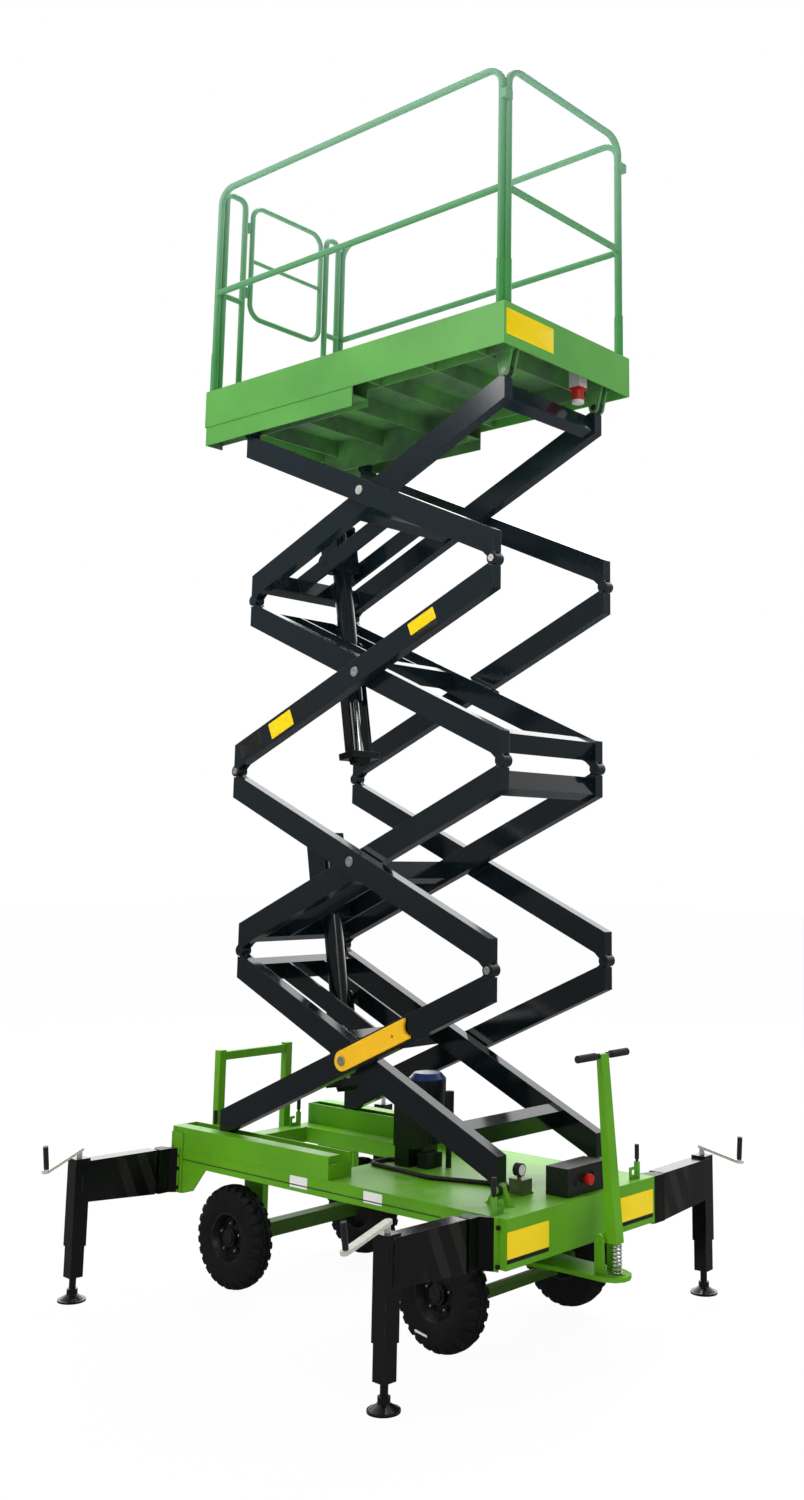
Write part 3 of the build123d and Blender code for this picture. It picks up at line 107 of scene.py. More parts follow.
# Direction that the sky is bright in
BRIGHT_SIDE = (-0.62, 0.74, 0.26)
MATERIALS = {}


# Shader helpers


class Sock:
    """A node output that takes part in ordinary arithmetic."""

    def __init__(self, tree, out):
        self.tree = tree
        self.out = out

    def _math(self, op, *args):
        node = self.tree.nodes.new("ShaderNodeMath")
        node.operation = op
        for slot, value in zip(node.inputs, args):
            self.tree_link(value, slot)
        return Sock(self.tree, node.outputs[0])

    def tree_link(self, value, slot):
        if isinstance(value, Sock):
            self.tree.links.new(value.out, slot)
        else:
            slot.default_value = value

    def __add__(self, other):
        return self._math("ADD", self, other)

    def __radd__(self, other):
        return self._math("ADD", other, self)

    def __sub__(self, other):
        return self._math("SUBTRACT", self, other)

    def __rsub__(self, other):
        return self._math("SUBTRACT", other, self)

    def __mul__(self, other):
        return self._math("MULTIPLY", self, other)

    def __rmul__(self, other):
        return self._math("MULTIPLY", other, self)

    def __truediv__(self, other):
        return self._math("DIVIDE", self, other)

    def __pow__(self, other):
        return self._math("POWER", self, other)

    def greater(self, other):
        return self._math("GREATER_THAN", self, other)

    def frac(self):
        return self._math("FRACT", self)

    def absolute(self):
        return self._math("ABSOLUTE", self)

    def clamp(self):
        return self._math("MINIMUM", self._math("MAXIMUM", self, 0.0), 1.0)

    def ramp(self, low, high):
        """0 at low, 1 at high, straight between them."""
        return ((self - low) / (high - low)).clamp()


class Shader:
    """A material's node tree with one way of adding any node."""

    def __init__(self, name):
        self.mat = bpy.data.materials.new(name)
        self.mat.use_nodes = True
        self.tree = self.mat.node_tree
        self.bsdf = self.tree.nodes["Principled BSDF"]
        self.where = self.node("ShaderNodeTexCoord", out="Object")

    def node(self, kind, settings=None, inputs=None, out=0):
        made = self.tree.nodes.new(kind)
        for key, value in (settings or {}).items():
            setattr(made, key, value)
        for key, value in (inputs or {}).items():
            slot = made.inputs[key]
            if isinstance(value, Sock):
                self.tree.links.new(value.out, slot)
            else:
                slot.default_value = value
        return Sock(self.tree, made.outputs[out])

    def noise(self, scale, detail=3.0, rough=0.5, where=None, out="Fac"):
        return self.node(
            "ShaderNodeTexNoise",
            inputs={"Vector": where or self.where, "Scale": scale, "Detail": detail, "Roughness": rough},
            out=out,
        )

    def stretched(self, factors):
        return self.node(
            "ShaderNodeMapping", inputs={"Vector": self.where, "Scale": factors}
        )

    def axis(self, letter):
        return self.node("ShaderNodeSeparateXYZ", inputs={"Vector": self.where}, out=letter)

    def mix(self, factor, a, b):
        return self.node(
            "ShaderNodeMix",
            settings={"data_type": "RGBA"},
            inputs={0: factor, 6: a, 7: b},
            out=2,
        )

    def edge(self, radius):
        """How far the bevelled normal turns away from the true one: 0 on flats, 1 on edges."""
        soft = self.node("ShaderNodeBevel", {"samples": 4}, {"Radius": radius})
        true = self.node("ShaderNodeNewGeometry", out="Normal")
        dot = self.node("ShaderNodeVectorMath", {"operation": "DOT_PRODUCT"}, {0: soft, 1: true}, out="Value")
        return (1.0 - dot).ramp(0.02, 0.22)

    def up(self):
        """How much the surface faces upward."""
        true = self.node("ShaderNodeNewGeometry", out="Normal")
        z = self.node("ShaderNodeSeparateXYZ", inputs={"Vector": true}, out="Z")
        return z.ramp(0.3, 0.95)

    def down(self):
        """How much the surface faces downward."""
        true = self.node("ShaderNodeNewGeometry", out="Normal")
        z = self.node("ShaderNodeSeparateXYZ", inputs={"Vector": true}, out="Z")
        return (0.0 - z).ramp(0.3, 0.95)

    def bump(self, height, strength, distance, round_edge=None):
        inputs = {"Height": height, "Strength": strength, "Distance": distance}
        if round_edge:
            inputs["Normal"] = self.node("ShaderNodeBevel", {"samples": 4}, {"Radius": round_edge})
        return self.node("ShaderNodeBump", inputs=inputs)

    def put(self, **values):
        for key, value in values.items():
            slot = self.bsdf.inputs[key.replace("_", " ")]
            if isinstance(value, Sock):
                self.tree.links.new(value.out, slot)
            else:
                slot.default_value = value
        return self.mat


def paint(
    name, colour, rough, worn, gloss=0.18, dirt=0.25, bevel=0.0022, peel_size=0.05,
    bright=None, second=None, where=None,
):
    """Sprayed paint: cloudy tone, orange peel, chipped edges, dust on top faces.
    The second colour shows where its mask says, and bright is a mask for plated metal."""
    s = Shader(name)
    r, g, b = colour
    cloud = s.noise(3.2, 4.0)
    fine = s.noise(46.0, 5.0, 0.65)
    shade = s.mix(cloud.ramp(0.3, 0.7), (r * 0.86, g * 0.86, b * 0.88, 1), (r * 1.08, g * 1.08, b * 1.05, 1))
    if second:
        shade = s.mix(where(s), shade, second + (1,))
    streak = s.noise(26.0, 6.0, 0.7, s.stretched((1.0, 1.0, 0.12)))
    grime = (r * 0.45 + 0.04, g * 0.45 + 0.036, b * 0.45 + 0.03, 1)
    shade = s.mix(streak.ramp(0.58, 0.78) * dirt, shade, grime)
    dust = (s.up() * s.noise(9.0, 5.0, 0.6).ramp(0.45, 0.75)) * dirt
    shade = s.mix(dust, shade, (0.42, 0.40, 0.36, 1))
    chips = (s.edge(bevel * 1.3) * fine.ramp(0.5, 0.62)) * worn
    shade = s.mix(chips, shade, (0.30, 0.30, 0.30, 1))
    peel = s.noise(420.0, 2.0)
    metal = chips * 0.7
    if bright:
        plated = bright(s)
        shade = s.mix(plated, shade, (0.62, 0.63, 0.64, 1))
        metal = (metal + plated).clamp()
    return s.put(
        Base_Color=shade,
        Roughness=(rough + (fine - 0.5) * 0.10 + dust * 0.35).clamp(),
        Metallic=metal,
        Specular_IOR_Level=gloss,
        Normal=s.bump(peel * 0.6 + fine * 0.4, peel_size, 0.0004, bevel),
    )


def bare_metal(name, colour, rough, grain=(1.0, 1.0, 1.0), grime=0.3, bevel=0.001):
    """Bare or plated steel: brushed grain, cloudy plating, grime in blotches."""
    s = Shader(name)
    r, g, b = colour
    brush = s.noise(240.0, 3.0, 0.6, s.stretched(grain))
    blotch = s.noise(18.0, 5.0, 0.62)
    shade = s.mix(brush, (r * 0.88, g * 0.88, b * 0.88, 1), (r, g, b, 1))
    shade = s.mix(blotch.ramp(0.56, 0.8) * grime, shade, (0.16, 0.13, 0.10, 1))
    return s.put(
        Base_Color=shade,
        Metallic=1.0 - blotch.ramp(0.6, 0.8) * grime,
        Roughness=(rough + brush * 0.14 + blotch.ramp(0.5, 0.8) * 0.25).clamp(),
        Normal=s.bump(brush, 0.12, 0.0004, bevel),
    )


def rubber(name, colour, rough=0.62, dusty=0.4):
    """Moulded rubber: matte, dusty in the hollows, finely pitted."""
    s = Shader(name)
    r, g, b = colour
    pit = s.noise(520.0, 3.0)
    cloud = s.noise(14.0, 5.0, 0.65)
    shade = s.mix(cloud.ramp(0.35, 0.75) * dusty, (r, g, b, 1), (0.13, 0.12, 0.105, 1))
    return s.put(
        Base_Color=shade,
        Roughness=(rough + cloud * 0.2).clamp(),
        Specular_IOR_Level=0.2,
        Normal=s.bump(pit, 0.25, 0.0005),
    )


def plastic(name, colour, rough=0.32):
    """Moulded plastic: even colour, soft sheen, light scuffs."""
    s = Shader(name)
    r, g, b = colour
    scuff = s.noise(60.0, 6.0, 0.7, s.stretched((1.0, 5.0, 1.0)))
    shade = s.mix(scuff.ramp(0.6, 0.8) * 0.3, (r, g, b, 1), (r * 0.6 + 0.1, g * 0.6 + 0.1, b * 0.6 + 0.1, 1))
    return s.put(
        Base_Color=shade,
        Roughness=(rough + scuff.ramp(0.5, 0.8) * 0.3).clamp(),
        Specular_IOR_Level=0.2,
        Normal=s.bump(scuff, 0.08, 0.0004, 0.0008),
    )


def slanted_band_mask(s):
    """Lighter slanted bands on the sides of a leg beam, next to its hinge."""
    band = (s.axis("X") * 9.0 + s.axis("Y") * 9.0 + s.axis("Z") * 4.2).frac().greater(0.55)
    near = s.axis("Y").absolute().ramp(0.46, 0.50) * (1.0 - s.axis("Y").absolute().ramp(0.72, 0.78))
    return band * near * 0.8


def tray_painted_shade(s):
    """1 in blotches on the ribs and the sheet inside the platform's skirt, and 0 on its outer faces: the
    darker grey-green there is painted shade under the platform.
    """
    inner = 1.0 - s.axis("Y").absolute().greater(0.430)
    inner = inner * (1.0 - s.axis("X").greater(PIN_X + 0.083)) * s.axis("X").greater(PIN_X - 1.757)
    return inner * (0.35 + s.noise(4.5, 4.0, 0.6).ramp(0.36, 0.60) * 0.65)


def make_materials():
    MATERIALS["lime"] = paint("lime_paint", LIME, 0.36, 0.3)
    # Darker lime: painted shade on the axles, knuckle and tie rod under the chassis, and on the painted
    # shadow line along the near beam.
    MATERIALS["shade"] = paint("painted_shade_lime", (0.040, 0.105, 0.007), 0.5, 0.3, dirt=0.5)
    # Inside the skirt the platform green turns darker grey-green in blotches: painted shade under the
    # platform.
    MATERIALS["green"] = paint(
        "platform_paint", (0.120, 0.40, 0.078), 0.36, 0.25,
        second=(0.075, 0.150, 0.075), where=tray_painted_shade,
    )
    # Rail green turns paler and bluer towards the tops: painted sky light on the upper rails.
    MATERIALS["rail"] = paint(
        "rail_paint", (0.060, 0.29, 0.080), 0.36, 0.25, bevel=0.001,
        second=(0.21, 0.42, 0.27), where=lambda s: s.axis("Z").ramp(4.15, 4.95),
    )
    # Arm black turns bluer and lighter with height: painted sky sheen on the upper arms.
    MATERIALS["black"] = paint(
        "arm_paint", ARM_BLACK, 0.13, 0.2, gloss=0.45, dirt=0.03, peel_size=0.015,
        second=(0.0085, 0.0170, 0.0230), where=lambda s: s.axis("Z").ramp(1.2, 3.9),
    )
    MATERIALS["leg"] = paint("leg_paint", LEG_BLACK, 0.20, 0.25, gloss=0.35, dirt=0.05, peel_size=0.03)
    MATERIALS["banded_leg"] = paint(
        "leg_paint_banded", LEG_BLACK, 0.20, 0.25, gloss=0.35, dirt=0.05, peel_size=0.03,
        second=(0.017, 0.016, 0.014), where=slanted_band_mask,
    )
    MATERIALS["bracket"] = paint(
        "bracket_paint", LIME, 0.36, 0.3,
        second=(0.003, 0.004, 0.003), where=lambda s: s.axis("Y").absolute().greater(0.472),
    )
    MATERIALS["orange"] = paint("strut_paint", (0.90, 0.50, 0.010), 0.38, 0.4)
    MATERIALS["blue"] = paint(
        "motor_paint", (0.004, 0.006, 0.010), 0.28, 0.3, gloss=0.4, dirt=0.06,
        second=(0.008, 0.035, 0.115), where=lambda s: s.axis("Z").greater(0.876),
    )
    MATERIALS["box"] = paint("box_paint", (0.009, 0.012, 0.009), 0.30, 0.3, gloss=0.35, dirt=0.08)
    MATERIALS["rim"] = paint("rim_paint", (0.006, 0.006, 0.0065), 0.40, 0.4, gloss=0.3, dirt=0.12)
    MATERIALS["yellow"] = plastic("plate_yellow", (0.95, 0.69, 0.001), 0.42)
    MATERIALS["white"] = plastic("plate_white", (0.82, 0.82, 0.80), 0.42)
    MATERIALS["ink"] = plastic("plate_black", (0.012, 0.012, 0.012), 0.42)
    MATERIALS["red"] = plastic("stop_red", (0.60, 0.012, 0.010), 0.28)
    MATERIALS["zinc"] = bare_metal("zinc_plate", (0.62, 0.62, 0.58), 0.28)
    MATERIALS["steel"] = bare_metal("machined_steel", (0.66, 0.66, 0.65), 0.24, (0.2, 1.0, 1.0))
    MATERIALS["grip"] = rubber("grip_rubber", (0.012, 0.012, 0.012), 0.55, 0.15)
    MATERIALS["tyre"] = rubber("tyre_rubber", (0.0022, 0.0030, 0.0034), 0.56, 0.05)
    MATERIALS["hose"] = rubber("hose_rubber", (0.010, 0.010, 0.010), 0.42, 0.15)


def arm_point(stage, rise, u, w):
    """A place on an arm in the X Z plane, u along it from its centre and w square to it."""
    z = PIN_Z + (stage - 0.5) * STEP_Z
    x = MID_X + u * math.cos(SLOPE) - rise * w * math.sin(SLOPE)
    return x, z + rise * u * math.sin(SLOPE) + w * math.cos(SLOPE)


def rod_mask(upper_stage, lower_stage, length):
    """1 within the rod's radius of the cylinder's axis and short of the cage's foot, and 0 elsewhere."""
    ux, uz = arm_point(upper_stage, 1, *BARREL_PIN)
    ex, ez = arm_point(lower_stage, -1, *ROD_EYE)
    gap = math.hypot(ex - ux, ez - uz)
    ax, az = (ex - ux) / gap, (ez - uz) / gap

    def mask(s):
        x, y, z = s.axis("X") - ux, s.axis("Y"), s.axis("Z") - uz
        off = x * az - z * ax
        near = 1.0 - (off * off + y * y).greater(ROD_MASK_R ** 2)
        return near * (1.0 - (x * ax + z * az).greater(gap + length - CAGE_FOOT))

    return mask


def make_mixed_materials():
    """Materials whose parts differ by their place on the piece."""
    s = Shader("socket_mixed")
    z = s.axis("Z")
    shade = s.mix(z.greater(SOCKET_TOP), (0.40, 0.010, 0.008, 1), (0.45, 0.45, 0.43, 1))
    shade = s.mix(z.greater(SOCKET_LOW), (0.60, 0.60, 0.58, 1), shade)
    scuff = s.noise(60.0, 6.0, 0.7)
    MATERIALS["socket"] = s.put(Base_Color=shade, Roughness=(0.30 + scuff * 0.2).clamp())
    s = Shader("lock_mixed")
    z = s.axis("Z")
    fine = s.noise(46.0, 5.0, 0.65)
    shade = s.mix(z.greater(GRIP_LOW), (0.105, 0.36, 0.020, 1), DULL_BLACK)
    MATERIALS["lock"] = s.put(Base_Color=shade, Roughness=(0.36 + fine * 0.12).clamp())
    s = Shader("valve_mixed")
    blotch = s.noise(26.0, 5.0, 0.62)
    shade = s.mix(blotch.ramp(0.4, 0.7), (0.10, 0.13, 0.045, 1), (0.17, 0.19, 0.10, 1))
    shade = s.mix(s.axis("Z").greater(GAUGE_Z - 0.025), shade, (0.012, 0.014, 0.012, 1))
    MATERIALS["valve"] = s.put(Base_Color=shade, Metallic=0.4, Roughness=(0.30 + blotch * 0.2).clamp())
    for name, high, low, length in (("lower", 2, 1, 0.375), ("upper", 4, 3, 0.530)):
        MATERIALS["rod_" + name] = paint(
            name + "_cage_paint", ROD_BLACK, 0.14, 0.2, gloss=0.45, dirt=0.03, peel_size=0.015,
            bright=rod_mask(high, low, length),
        )
    for name, lx, ly, turn, drop in CRANKS:
        s = Shader("crank_zinc_" + name)
        brush = s.noise(90.0, 4.0, 0.6)
        shade = s.mix(brush.ramp(0.3, 0.7), (0.62, 0.63, 0.56, 1), (0.76, 0.76, 0.70, 1))
        turn, fall = math.radians(turn), math.atan2(drop, CRANK_REACH)
        x, y, z = s.axis("X") - (PIN_X + lx), s.axis("Y") - ly, s.axis("Z") - CRANK_Z
        reach = x * math.cos(turn) + y * math.sin(turn)
        over = reach * math.sin(fall) + z * math.cos(fall)
        grip = over.greater(0.0075) * reach.greater(0.75 * CRANK_REACH)
        shade = s.mix(grip, shade, DULL_BLACK)
        MATERIALS["crank_" + name] = s.put(
            Base_Color=shade, Metallic=(1.0 - grip) * 0.35, Roughness=(0.32 + brush * 0.15).clamp(),
        )


NODE_PAINT = (
    ("lime", ("chassis_frame", "deck_plate", "roller_rails", "push_frame", "drawbar", "tow_handle")),
    # The running gear under the chassis takes the painted-shade lime.
    ("shade", ("front_axle", "rear_axle", "knuckle", "tie_rod")),
    ("green", ("platform_tray", "platform_frame")),
    ("rail", ("guard_rails", "gate")),
    ("black", ("inner_frame", "outer_arms", "lower_barrel", "upper_barrel")),
    ("rod_lower", ("lower_cage",)),
    ("rod_upper", ("upper_cage",)),
    ("leg", ("jack",)),
    ("banded_leg", ("outrigger",)),
    ("bracket", ("corner_brackets",)),
    ("orange", ("safety_strut",)),
    ("blue", ("motor",)),
    ("box", ("control_box", "power_tank")),
    ("rim", ("rim_",)),
    ("zinc", ("return_spring",)),
    *(("crank_" + row[0], ("crank_" + row[0],)) for row in CRANKS),
    ("valve", ("valve_block",)),
    ("socket", ("power_socket",)),
    ("lock", ("lock_pins",)),
    ("red", ("stop_button",)),
    ("grip", ("tow_grips",)),
    ("hose", ("deck_hose",)),
    ("tyre", ("tyre_",)),
)


# Mesh helpers


def mesh_piece(name, verts, faces, material, body, smooth=True):
    """A mesh object at the origin with its place in its mesh, riding on a CAD body."""
    mesh = bpy.data.meshes.new(name)
    mesh.from_pydata(np.asarray(verts).tolist(), [], np.asarray(faces).tolist())
    mesh.update()
    if smooth:
        mesh.shade_smooth()
        mesh.set_sharp_from_angle(angle=math.radians(38.0))
    obj = bpy.data.objects.new(name, mesh)
    bpy.context.scene.collection.objects.link(obj)
    mesh.materials.append(MATERIALS[material])
    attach(obj, body)
    return obj


def grid_faces(rows, cols, wrap_rows=False, wrap_cols=True):
    """Quads of a rows by cols grid of points, numbered row by row."""
    i = np.arange(rows if wrap_rows else rows - 1)
    j = np.arange(cols if wrap_cols else cols - 1)
    i, j = np.meshgrid(i, j, indexing="ij")
    i2, j2 = (i + 1) % rows, (j + 1) % cols
    return np.stack((i * cols + j, i * cols + j2, i2 * cols + j2, i2 * cols + j), -1).reshape(-1, 4)


def basis(axis):
    """Two unit vectors square to axis, so that (u, v, axis) is right-handed."""
    axis = np.asarray(axis, float)
    axis = axis / np.linalg.norm(axis)
    side = np.array((0.0, 0.0, 1.0)) if abs(axis[2]) < 0.9 else np.array((1.0, 0.0, 0.0))
    u = np.cross(side, axis)
    u /= np.linalg.norm(u)
    return u, np.cross(axis, u), axis


def lathe(profile, centre, axis, around=32, radius_of=None):
    """Points centre + z*axis + r*(cos a*u + sin a*v) for each (z, r) of the profile and each angle a.
    The profile runs from the low end to the high end, and r is multiplied by radius_of(a)."""
    u, v, w = basis(axis)
    z, r = np.asarray(profile, float).T
    a = np.linspace(0.0, 2.0 * np.pi, around, endpoint=False)
    k = np.ones_like(a) if radius_of is None else radius_of(a)
    ring = np.cos(a)[:, None] * u + np.sin(a)[:, None] * v
    pts = np.asarray(centre) + z[:, None, None] * w + (r[:, None, None] * k[None, :, None]) * ring[None]
    return pts.reshape(-1, 3), grid_faces(len(z), around)


def joined(parts):
    """One vertex array and one face list out of several."""
    verts, faces, base = [], [], 0
    for v, f in parts:
        verts.append(v)
        faces.extend((np.asarray(f) + base).tolist())
        base += len(v)
    return np.concatenate(verts), faces


def hexagon(a):
    """Distance to the side of a regular hexagon in the direction a, for a unit inner radius."""
    step = np.pi / 3.0
    return 1.0 / np.cos((a + step / 2.0) % step - step / 2.0)


def cap(radius, height, centre, axis, around=32, chamfer=0.2):
    """A turned cap: a chamfered disc with a shallow centre hole."""
    c = chamfer * height
    profile = (
        (0.0, 1e-6), (0.0, radius), (height - c, radius), (height, radius - c),
        (height, radius * 0.30), (height - c * 1.5, radius * 0.24), (height - c * 1.5, 1e-6),
    )
    return lathe(profile, centre, axis, around)


def nut(radius, height, centre, axis):
    """A hexagon nut with a rounded crown and the stud's end."""
    body = (
        (0.0, 1e-6), (0.0, radius), (height * 0.82, radius), (height, radius * 0.86),
        (height, radius * 0.56),
    )
    stud = ((height - 0.0002, radius * 0.56), (height * 1.35, radius * 0.5), (height * 1.4, 1e-6))
    return joined((lathe(body, centre, axis, 24, hexagon), lathe(stud, centre, axis, 16)))


def plate(width, height, thick, centre, right, up, corner=0.004, around=5):
    """A flat plate with rounded corners: its outline at the back, its outline at the front, and the
    front's centre."""
    right, up = np.asarray(right, float), np.asarray(up, float)
    out = np.cross(right, up)
    q = np.linspace(0.0, np.pi / 2.0, around)
    cx = np.array((1, -1, -1, 1)) * (width / 2.0 - corner)
    cy = np.array((1, 1, -1, -1)) * (height / 2.0 - corner)
    a = (np.arange(4)[:, None] * np.pi / 2.0 + q[None]).ravel()
    x = np.repeat(cx, around) + corner * np.cos(a)
    y = np.repeat(cy, around) + corner * np.sin(a)
    rows = []
    for depth, shrink in ((0.0, 1.0), (thick * 0.6, 1.0), (thick, 1.0 - 0.6 * thick / height), (thick, 1e-4)):
        rows.append(
            np.asarray(centre) + depth * out + shrink * (x[:, None] * right + y[:, None] * up)
        )
    back = np.asarray(centre) + 1e-4 * (x[:, None] * right + y[:, None] * up)
    pts = np.concatenate([back] + rows)
    return pts, grid_faces(5, len(a))


def tube(path, radius, around=12):
    """A round tube along a polyline: rings square to the path, closed at both ends."""
    p = np.asarray(path, float)
    t = np.gradient(p, axis=0)
    t /= np.linalg.norm(t, axis=1)[:, None]
    ref = np.array((0.31, 0.17, 0.93))
    u = np.cross(t, ref)
    u /= np.linalg.norm(u, axis=1)[:, None]
    v = np.cross(t, u)
    a = np.linspace(0.0, 2.0 * np.pi, around, endpoint=False)
    ring = np.cos(a)[None, :, None] * u[:, None] + np.sin(a)[None, :, None] * v[:, None]
    pts = p[:, None] + radius * ring
    first = p[0] + 1e-5 * ring[0]
    last = p[-1] + 1e-5 * ring[-1]
    pts = np.concatenate((first[None], pts, last[None])).reshape(-1, 3)
    return pts, grid_faces(len(p) + 2, around)[:, ::-1]


def arm_frame(stage, rise):
    """Origin, direction along the arm towards the front, and direction square to it, in the X Z plane."""
    centre = np.array((MID_X, 0.0, PIN_Z + (stage - 0.5) * STEP_Z))
    along = np.array((math.cos(SLOPE), 0.0, rise * math.sin(SLOPE)))
    across = np.array((-rise * math.sin(SLOPE), 0.0, math.cos(SLOPE)))
    return centre, along, across


WHEELS = (
    ("near_front", PIN_X - 0.214, -1), ("far_front", PIN_X - 0.214, 1),
    ("near_rear", PIN_X - 1.388, -1), ("far_rear", PIN_X - 1.388, 1),
)
HUB_Z = 0.216
TRACK_Y = 0.380


class TyreSettings(bpy.types.PropertyGroup):
    pitches: IntProperty(name="Pitches", description="Tread blocks round the tyre", default=27)
    depth: FloatProperty(name="Depth", description="Tread depth", default=0.0095, unit="LENGTH")


class PinSettings(bpy.types.PropertyGroup):
    radius: FloatProperty(name="Radius", description="Radius of a pin cap", default=0.021, unit="LENGTH")


class StageSettings(bpy.types.PropertyGroup):
    focal_px: FloatProperty(name="Focal", description="Focal length in photo pixels", default=1421.106)
    key: FloatProperty(name="Key", description="Power of the key light", default=300.0)
    sky_low: FloatProperty(name="Sky low", description="Light from the camera's side", default=0.28)
    sky_high: FloatProperty(name="Sky high", description="Light from beyond the object", default=2.40)
    floor_seen_in_paint: FloatProperty(
        name="Floor in paint", description="Floor's light in mirrored rays", default=0.22,
    )


class LIFT_OT_materials(bpy.types.Operator):
    """Makes the materials and puts them on the CAD nodes"""

    bl_idname = "lift.materials"
    bl_label = "Materials"

    def execute(self, context):
        make_materials()
        make_mixed_materials()
        for material, starts in NODE_PAINT:
            for name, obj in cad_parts.items():
                if name.startswith(starts):
                    obj.data.materials.clear()
                    obj.data.materials.append(MATERIALS[material])
        return {"FINISHED"}


class LIFT_OT_tyres(bpy.types.Operator):
    """Tread blocks on all four tyres. A point at angle a and profile place t has the radius of the
    profile less the tread depth wherever the staggered grooves run."""

    bl_idname = "lift.tyres"
    bl_label = "Tyres"

    def execute(self, context):
        cfg = context.scene.lift_tyres
        half = np.array((
            0.0440, 0.0465, 0.0490, 0.0498, 0.0500, 0.0494, 0.0482,
            0.0462, 0.0425, 0.0365, 0.0290, 0.0200, 0.0080,
        ))
        rad = np.array((
            0.1016, 0.1100, 0.1250, 0.1380, 0.1450, 0.1560, 0.1670,
            0.1785, 0.1890, 0.1975, 0.2025, 0.2055, 0.2070,
        ))
        y = np.concatenate((-half, half[::-1]))
        r = np.concatenate((rad, rad[::-1]))
        dense = np.linspace(0, len(y) - 1, 64)
        y = np.interp(dense, np.arange(len(y)), y)
        r = np.interp(dense, np.arange(len(r)), r)
        a = np.linspace(0.0, 2.0 * np.pi, cfg.pitches * 14, endpoint=False)
        yy, aa = np.meshgrid(y, a, indexing="ij")
        rr = np.repeat(r[:, None], len(a), 1)
        side = np.sign(yy)
        slant = np.abs(yy) / 0.050 * 0.30
        phase = (aa * cfg.pitches / (2.0 * np.pi) + np.where(side > 0, 0.5, 0.0) + slant) % 1.0
        groove = np.clip((np.abs(phase - 0.5) - 0.27) / 0.05, 0.0, 1.0)
        reach = np.clip((rr - 0.1700) / 0.010, 0.0, 1.0)
        mid = np.clip((0.0050 - np.abs(yy)) / 0.002, 0.0, 1.0)
        ring = np.clip((0.0035 - np.abs(np.abs(yy) - 0.022)) / 0.0015, 0.0, 1.0)
        ring = ring * np.clip((rr - 0.198) / 0.004, 0, 1)
        cut = np.maximum(np.maximum(groove * np.clip((np.abs(yy) - 0.010) / 0.004, 0, 1), mid), ring) * reach
        rr = rr - cfg.depth * cut
        band = np.clip(1.0 - np.abs(rr - 0.128) / 0.003, 0, 1) * 0.0009
        for name, x, s in WHEELS:
            push = yy + np.sign(yy) * band * (np.abs(yy) > 0.045)
            push = np.clip(push, -0.0499, 0.0499)
            pts = np.stack((x + rr * np.cos(aa), s * TRACK_Y + push, HUB_Z + rr * np.sin(aa)), -1)
            pts = pts.reshape(-1, 3)
            faces = grid_faces(len(y), len(a))
            tread = mesh_piece("tread_" + name, pts, faces[:, ::-1], "tyre", "wheel_" + name)
            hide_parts("tyre_" + name)
        return {"FINISHED"}


class LIFT_OT_wheel_nuts(bpy.types.Operator):
    """Hexagon nuts, stud ends and a hub cap on each rim, turned about the wheel's axis"""

    bl_idname = "lift.wheel_nuts"
    bl_label = "Wheel nuts"

    def execute(self, context):
        for name, x, s in WHEELS:
            parts, studs = [], []
            seat = s * TRACK_Y + s * 0.012
            for k in range(5):
                a = 2.0 * math.pi * k / 5 + 0.3
                place = (x + 0.058 * math.cos(a), seat, HUB_Z + 0.058 * math.sin(a))
                parts.append(nut(0.0095, 0.010, place, (0, s, 0)))
                studs.append(cap(0.0042, 0.004, (place[0], seat + s * 0.0135, place[2]), (0, s, 0), 12))
            hub = (x, s * TRACK_Y + s * 0.0338, HUB_Z)
            parts.append(cap(0.026, 0.006, hub, (0, s, 0)))
            verts, faces = joined(parts)
            mesh_piece("wheel_nuts_" + name, verts, faces, "rim", "wheel_" + name)
            verts, faces = joined(studs)
            mesh_piece("wheel_studs_" + name, verts, faces, "zinc", "wheel_" + name)
        return {"FINISHED"}


class LIFT_OT_pin_caps(bpy.types.Operator):
    """Silver caps on the ends of the scissor pins, one mesh for each arm"""

    bl_idname = "lift.pin_caps"
    bl_label = "Pin caps"

    def execute(self, context):
        radius = context.scene.lift_pins.radius
        for stage, rise in ((1, 1), (2, -1), (3, 1), (4, -1)):
            parts = []
            x_top = PIN_X if rise > 0 else PIN_X - STEP_X
            spots = (
                (MID_X, PIN_Z + (stage - 0.5) * STEP_Z, radius),
                (x_top, PIN_Z + stage * STEP_Z, radius * 0.72),
            )
            for x, z, r in spots:
                for s in (-1, 1):
                    if stage == 4 and x == x_top:
                        continue
                    if stage == 1 and x == MID_X and s < 0:
                        continue
                    parts.append(cap(r, 0.005, (x, s * OUTER_FACE, z), (0, s, 0)))
            verts, faces = joined(parts)
            mesh_piece("pin_caps_%d" % stage, verts, faces, "zinc", "outer_%d" % stage)
        centre = (MID_X, -0.4135, PIN_Z + 0.5 * STEP_Z)
        verts, faces = cap(radius * 0.9, 0.006, centre, (0, -1, 0))
        mesh_piece("strut_pin", verts, faces, "zinc", "safety_strut")
        return {"FINISHED"}


